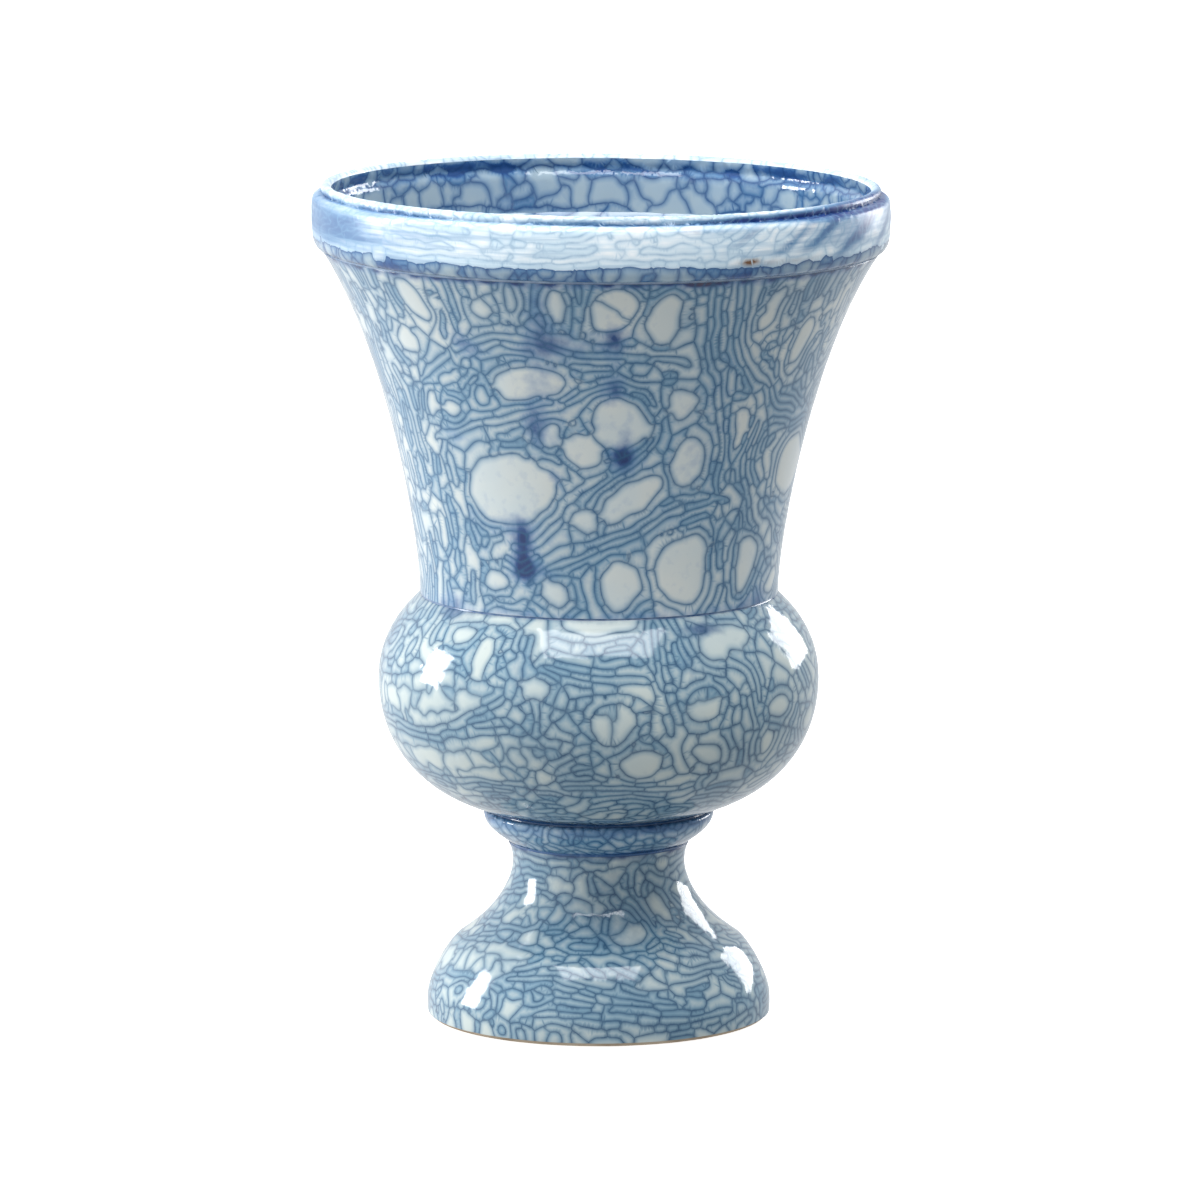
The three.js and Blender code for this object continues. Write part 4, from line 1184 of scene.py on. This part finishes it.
rim_blots = blots_on(rim_face, [(right, face_middle + up, wide, tall, tilt, share) for right, up, wide, tall, tilt, share in (
    (-72, 1, 66.0, 9.5, 0, 1.15), (62, 3, 34.0, 8.0, 0, 0.6), (-150, 0, 60.0, 9.0, 0, 0.5), (150, 0, 50.0, 8.0, 0, 0.45),
    (30, 4, 7.0, 1.4, -30, 0.65), (40, 0, 12.0, 1.5, -30, 0.7), (50, 3, 14.0, 1.7, -28, 0.9), (58, -2, 12.0, 1.6, -28, 0.85),
    (66, 3, 16.0, 2.1, -26, 1.05), (76, -1, 16.0, 1.9, -26, 0.95), (88, 3, 16.0, 2.1, -26, 0.9), (20, 6, 16.0, 1.2, 0, 0.45))])
rim_blots += [(math.radians(270 + right) % (2 * math.pi), under_lip, wide, tall, 0, share)
              for right, wide, tall, share in ((42, 26.0, 2.6, 1.7), (70, 30.0, 4.4, 2.6), (98, 30.0, 2.8, 1.6),
                                               (170, 60.0, 1.9, 0.9), (10, 24.0, 1.5, 0.7))]
# Specks of iron in the clay burn through, and the thin lower edge goes buff at one side
rim_specks = blots_on(rim_face, [(30.2, rim_low + 0.4, 3.4, 0.8, -2, 1.3), (38.0, rim_low - 0.6, 20.0, 1.0, 0, 0.35),
                                 (-118, rim_high, 1.2, 0.9, 0, 0.8), (140, face_middle, 1.4, 1.0, 0, 0.7)])
rim_rng = np.random.default_rng(53)
# On the rim the glaze is thin and near white, partly its own colour and partly a painted sheen of the light from above,
# with streaks where it was wiped on the wheel
THIN_GLAZE_AND_SHEEN = glaze("thin_glaze_white_with_painted_sheen", pale="#f7f8f7", lit="#f1f5f7", haze="#c6dbe8", crack="#7098b8",
             washed="#5a83ab", cobalt="#18397a", depth=0.85, weight=0.8, streaks=0.8, faint=0.45, gloss=0.3)
# Under its lower edge the band has the same darker glaze as the throat and a wash of cobalt, partly painted shade where
# it faces down, and it is parted from its face by a crack
rim_under = [strip(rim_face, 3.4, *[(right, rim_base + 1.6) for right in range(-180, 181, 20)], cut=(4, 12))]
rim_net = crackle(rim_face, rim_rng, scatter(rim_face, rim_rng, rim_under, RIM_ZONES, 3500), FINE_BANDS,
                  spacing=1.15, fill=2.2, blots=rim_blots, specks=rim_specks, warp=0.8,
                  # The wash at the band's lower edge is partly painted shade; the one under the lip is cobalt in the
                  # groove
                  washes=((0.6, 3.4, 0.55), (under_lip, 1.3, 0.8)),
                  inside=lambda along: along < rim_face.at_height(rim_base + 4.0))
# Inside, the glaze has gathered in a groove under the lip, in blocks of deep and light blue
mouth_face = Surface(path(
    (lip_inside, top - LIP_HEIGHT / 2), (lip_inside, top - LIP_HEIGHT), (lip_inside + 0.8, top - LIP_HEIGHT - 2.5),
    (lip_inside - 0.8, top - LIP_HEIGHT - 5), (rim_seam["bore"], rim_seam["lower_edge"][0][1] + 0.6),
    (rim_seam["bore"] - 0.15, rim_seam["bed"] + SPIGOT - 0.6)))
mouth_zones = [(lambda right, height: height > top - LIP_HEIGHT - 4.0, (1.2, 1.9), (1.0, 1.7), (-20, 20), 0.4, 2.4, 0.0,
                (3, 6)), *THROAT_ZONES]
mouth_shapes = [strip(mouth_face, 6.5, *[(right, top - 13.5 + 1.5 * math.sin(right / 14)) for right in range(-180, 181, 20)],
                      cut=(7, 17))]
mouth_net = crackle(mouth_face, rim_rng, scatter(mouth_face, rim_rng, mouth_shapes, mouth_zones, 1500), bands(3.4, 3.0, 4.4, 3.6),
                    spacing=1.2, fill=3.0, cut=(3, 12), washes=((2.4, 2.8, 1.15),), inside=lambda along: along > -1)
turn("rim_band_glazed", [rim_net, mouth_net, plain_run(rim_seam["lower_edge"])], THIN_GLAZE_AND_SHEEN, CLAY,
     ["rim_band"], inside=INSIDE)

# FLOOR, LIGHT AND CAMERA
floor_mesh = bpy.data.meshes.new("studio_floor")
floor_mesh.from_pydata([(-14, -14, -3e-4), (14, -14, -3e-4), (14, 14, -3e-4), (-14, 14, -3e-4)], [], [(0, 1, 2, 3)])
floor = bpy.data.objects.new("studio_floor", floor_mesh)
bpy.context.scene.collection.objects.link(floor)
# A light table: white paper lit from below, which leaves only a faint shadow round the foot
paper = bpy.data.materials.new("white_light_table")
paper.use_nodes = True
glow = paper.node_tree.nodes["Principled BSDF"]
glow.inputs["Base Color"].default_value = linear("#f4f4f4")
glow.inputs["Roughness"].default_value = 0.9
glow.inputs["Emission Color"].default_value = linear("#ffffff")
glow.inputs["Emission Strength"].default_value = 0.8
floor_mesh.materials.append(paper)
floor.visible_diffuse = floor.visible_glossy = False


def softbox(name, place, aim, size, watts):
    """A soft rectangular light that faces the vase."""
    data = bpy.data.lights.new(name, "AREA")
    data.shape, data.size, data.size_y, data.energy = "RECTANGLE", size[0], size[1], watts
    light = bpy.data.objects.new(name, data)
    light.location = place
    light.rotation_euler = (Vector(aim) - Vector(place)).to_track_quat("-Z", "Y").to_euler()
    bpy.context.scene.collection.objects.link(light)
    return light


softbox("window_above", (0.0, -0.52, 1.35), (0, -0.1, 0.15), (1.15, 0.72), 17)
softbox("softbox_left", (-1.3, 0.16, 0.46), (0, 0, 0.18), (0.34, 0.62), 11)
softbox("softbox_right", (1.0, 0.95, 0.46), (0, 0, 0.16), (0.62, 0.6), 8)
world = bpy.data.worlds.new("studio_walls")
bpy.context.scene.world = world
world.use_nodes = True
walls = world.node_tree
# The room is white all round, brightest to the left and behind the vase, and darkest behind the camera
facing_way = add_node(walls, "ShaderNodeTexCoord", out="Generated")
left = add_node(walls, "ShaderNodeMapRange", add_node(walls, "ShaderNodeSeparateXYZ", facing_way), 0.0, -1.0, 0.57, 1.5)
behind = add_node(walls, "ShaderNodeMapRange", add_node(walls, "ShaderNodeSeparateXYZ", facing_way, out="Y"),
                  -0.2, 0.9, 0.0, 0.45)
walls.links.new(add_node(walls, "ShaderNodeMath", left, behind, operation="ADD"), walls.nodes["Background"].inputs[1])
walls.nodes["Background"].inputs[0].default_value = linear("#e8ebee")

camera_data = bpy.data.cameras.new("camera")
camera_data.lens, camera_data.sensor_width = 267.24, 36.0
camera_data.clip_start, camera_data.clip_end = 0.1, 60
camera = bpy.data.objects.new("camera", camera_data)
camera.location = (0.0005, -3.2, 0.676)
camera.rotation_euler = (Vector((0.0005, 0, 0.153)) - camera.location).to_track_quat("-Z", "Y").to_euler()
bpy.context.scene.collection.objects.link(camera)
bpy.context.scene.camera = camera
bpy.context.scene.view_settings.view_transform = "Standard"
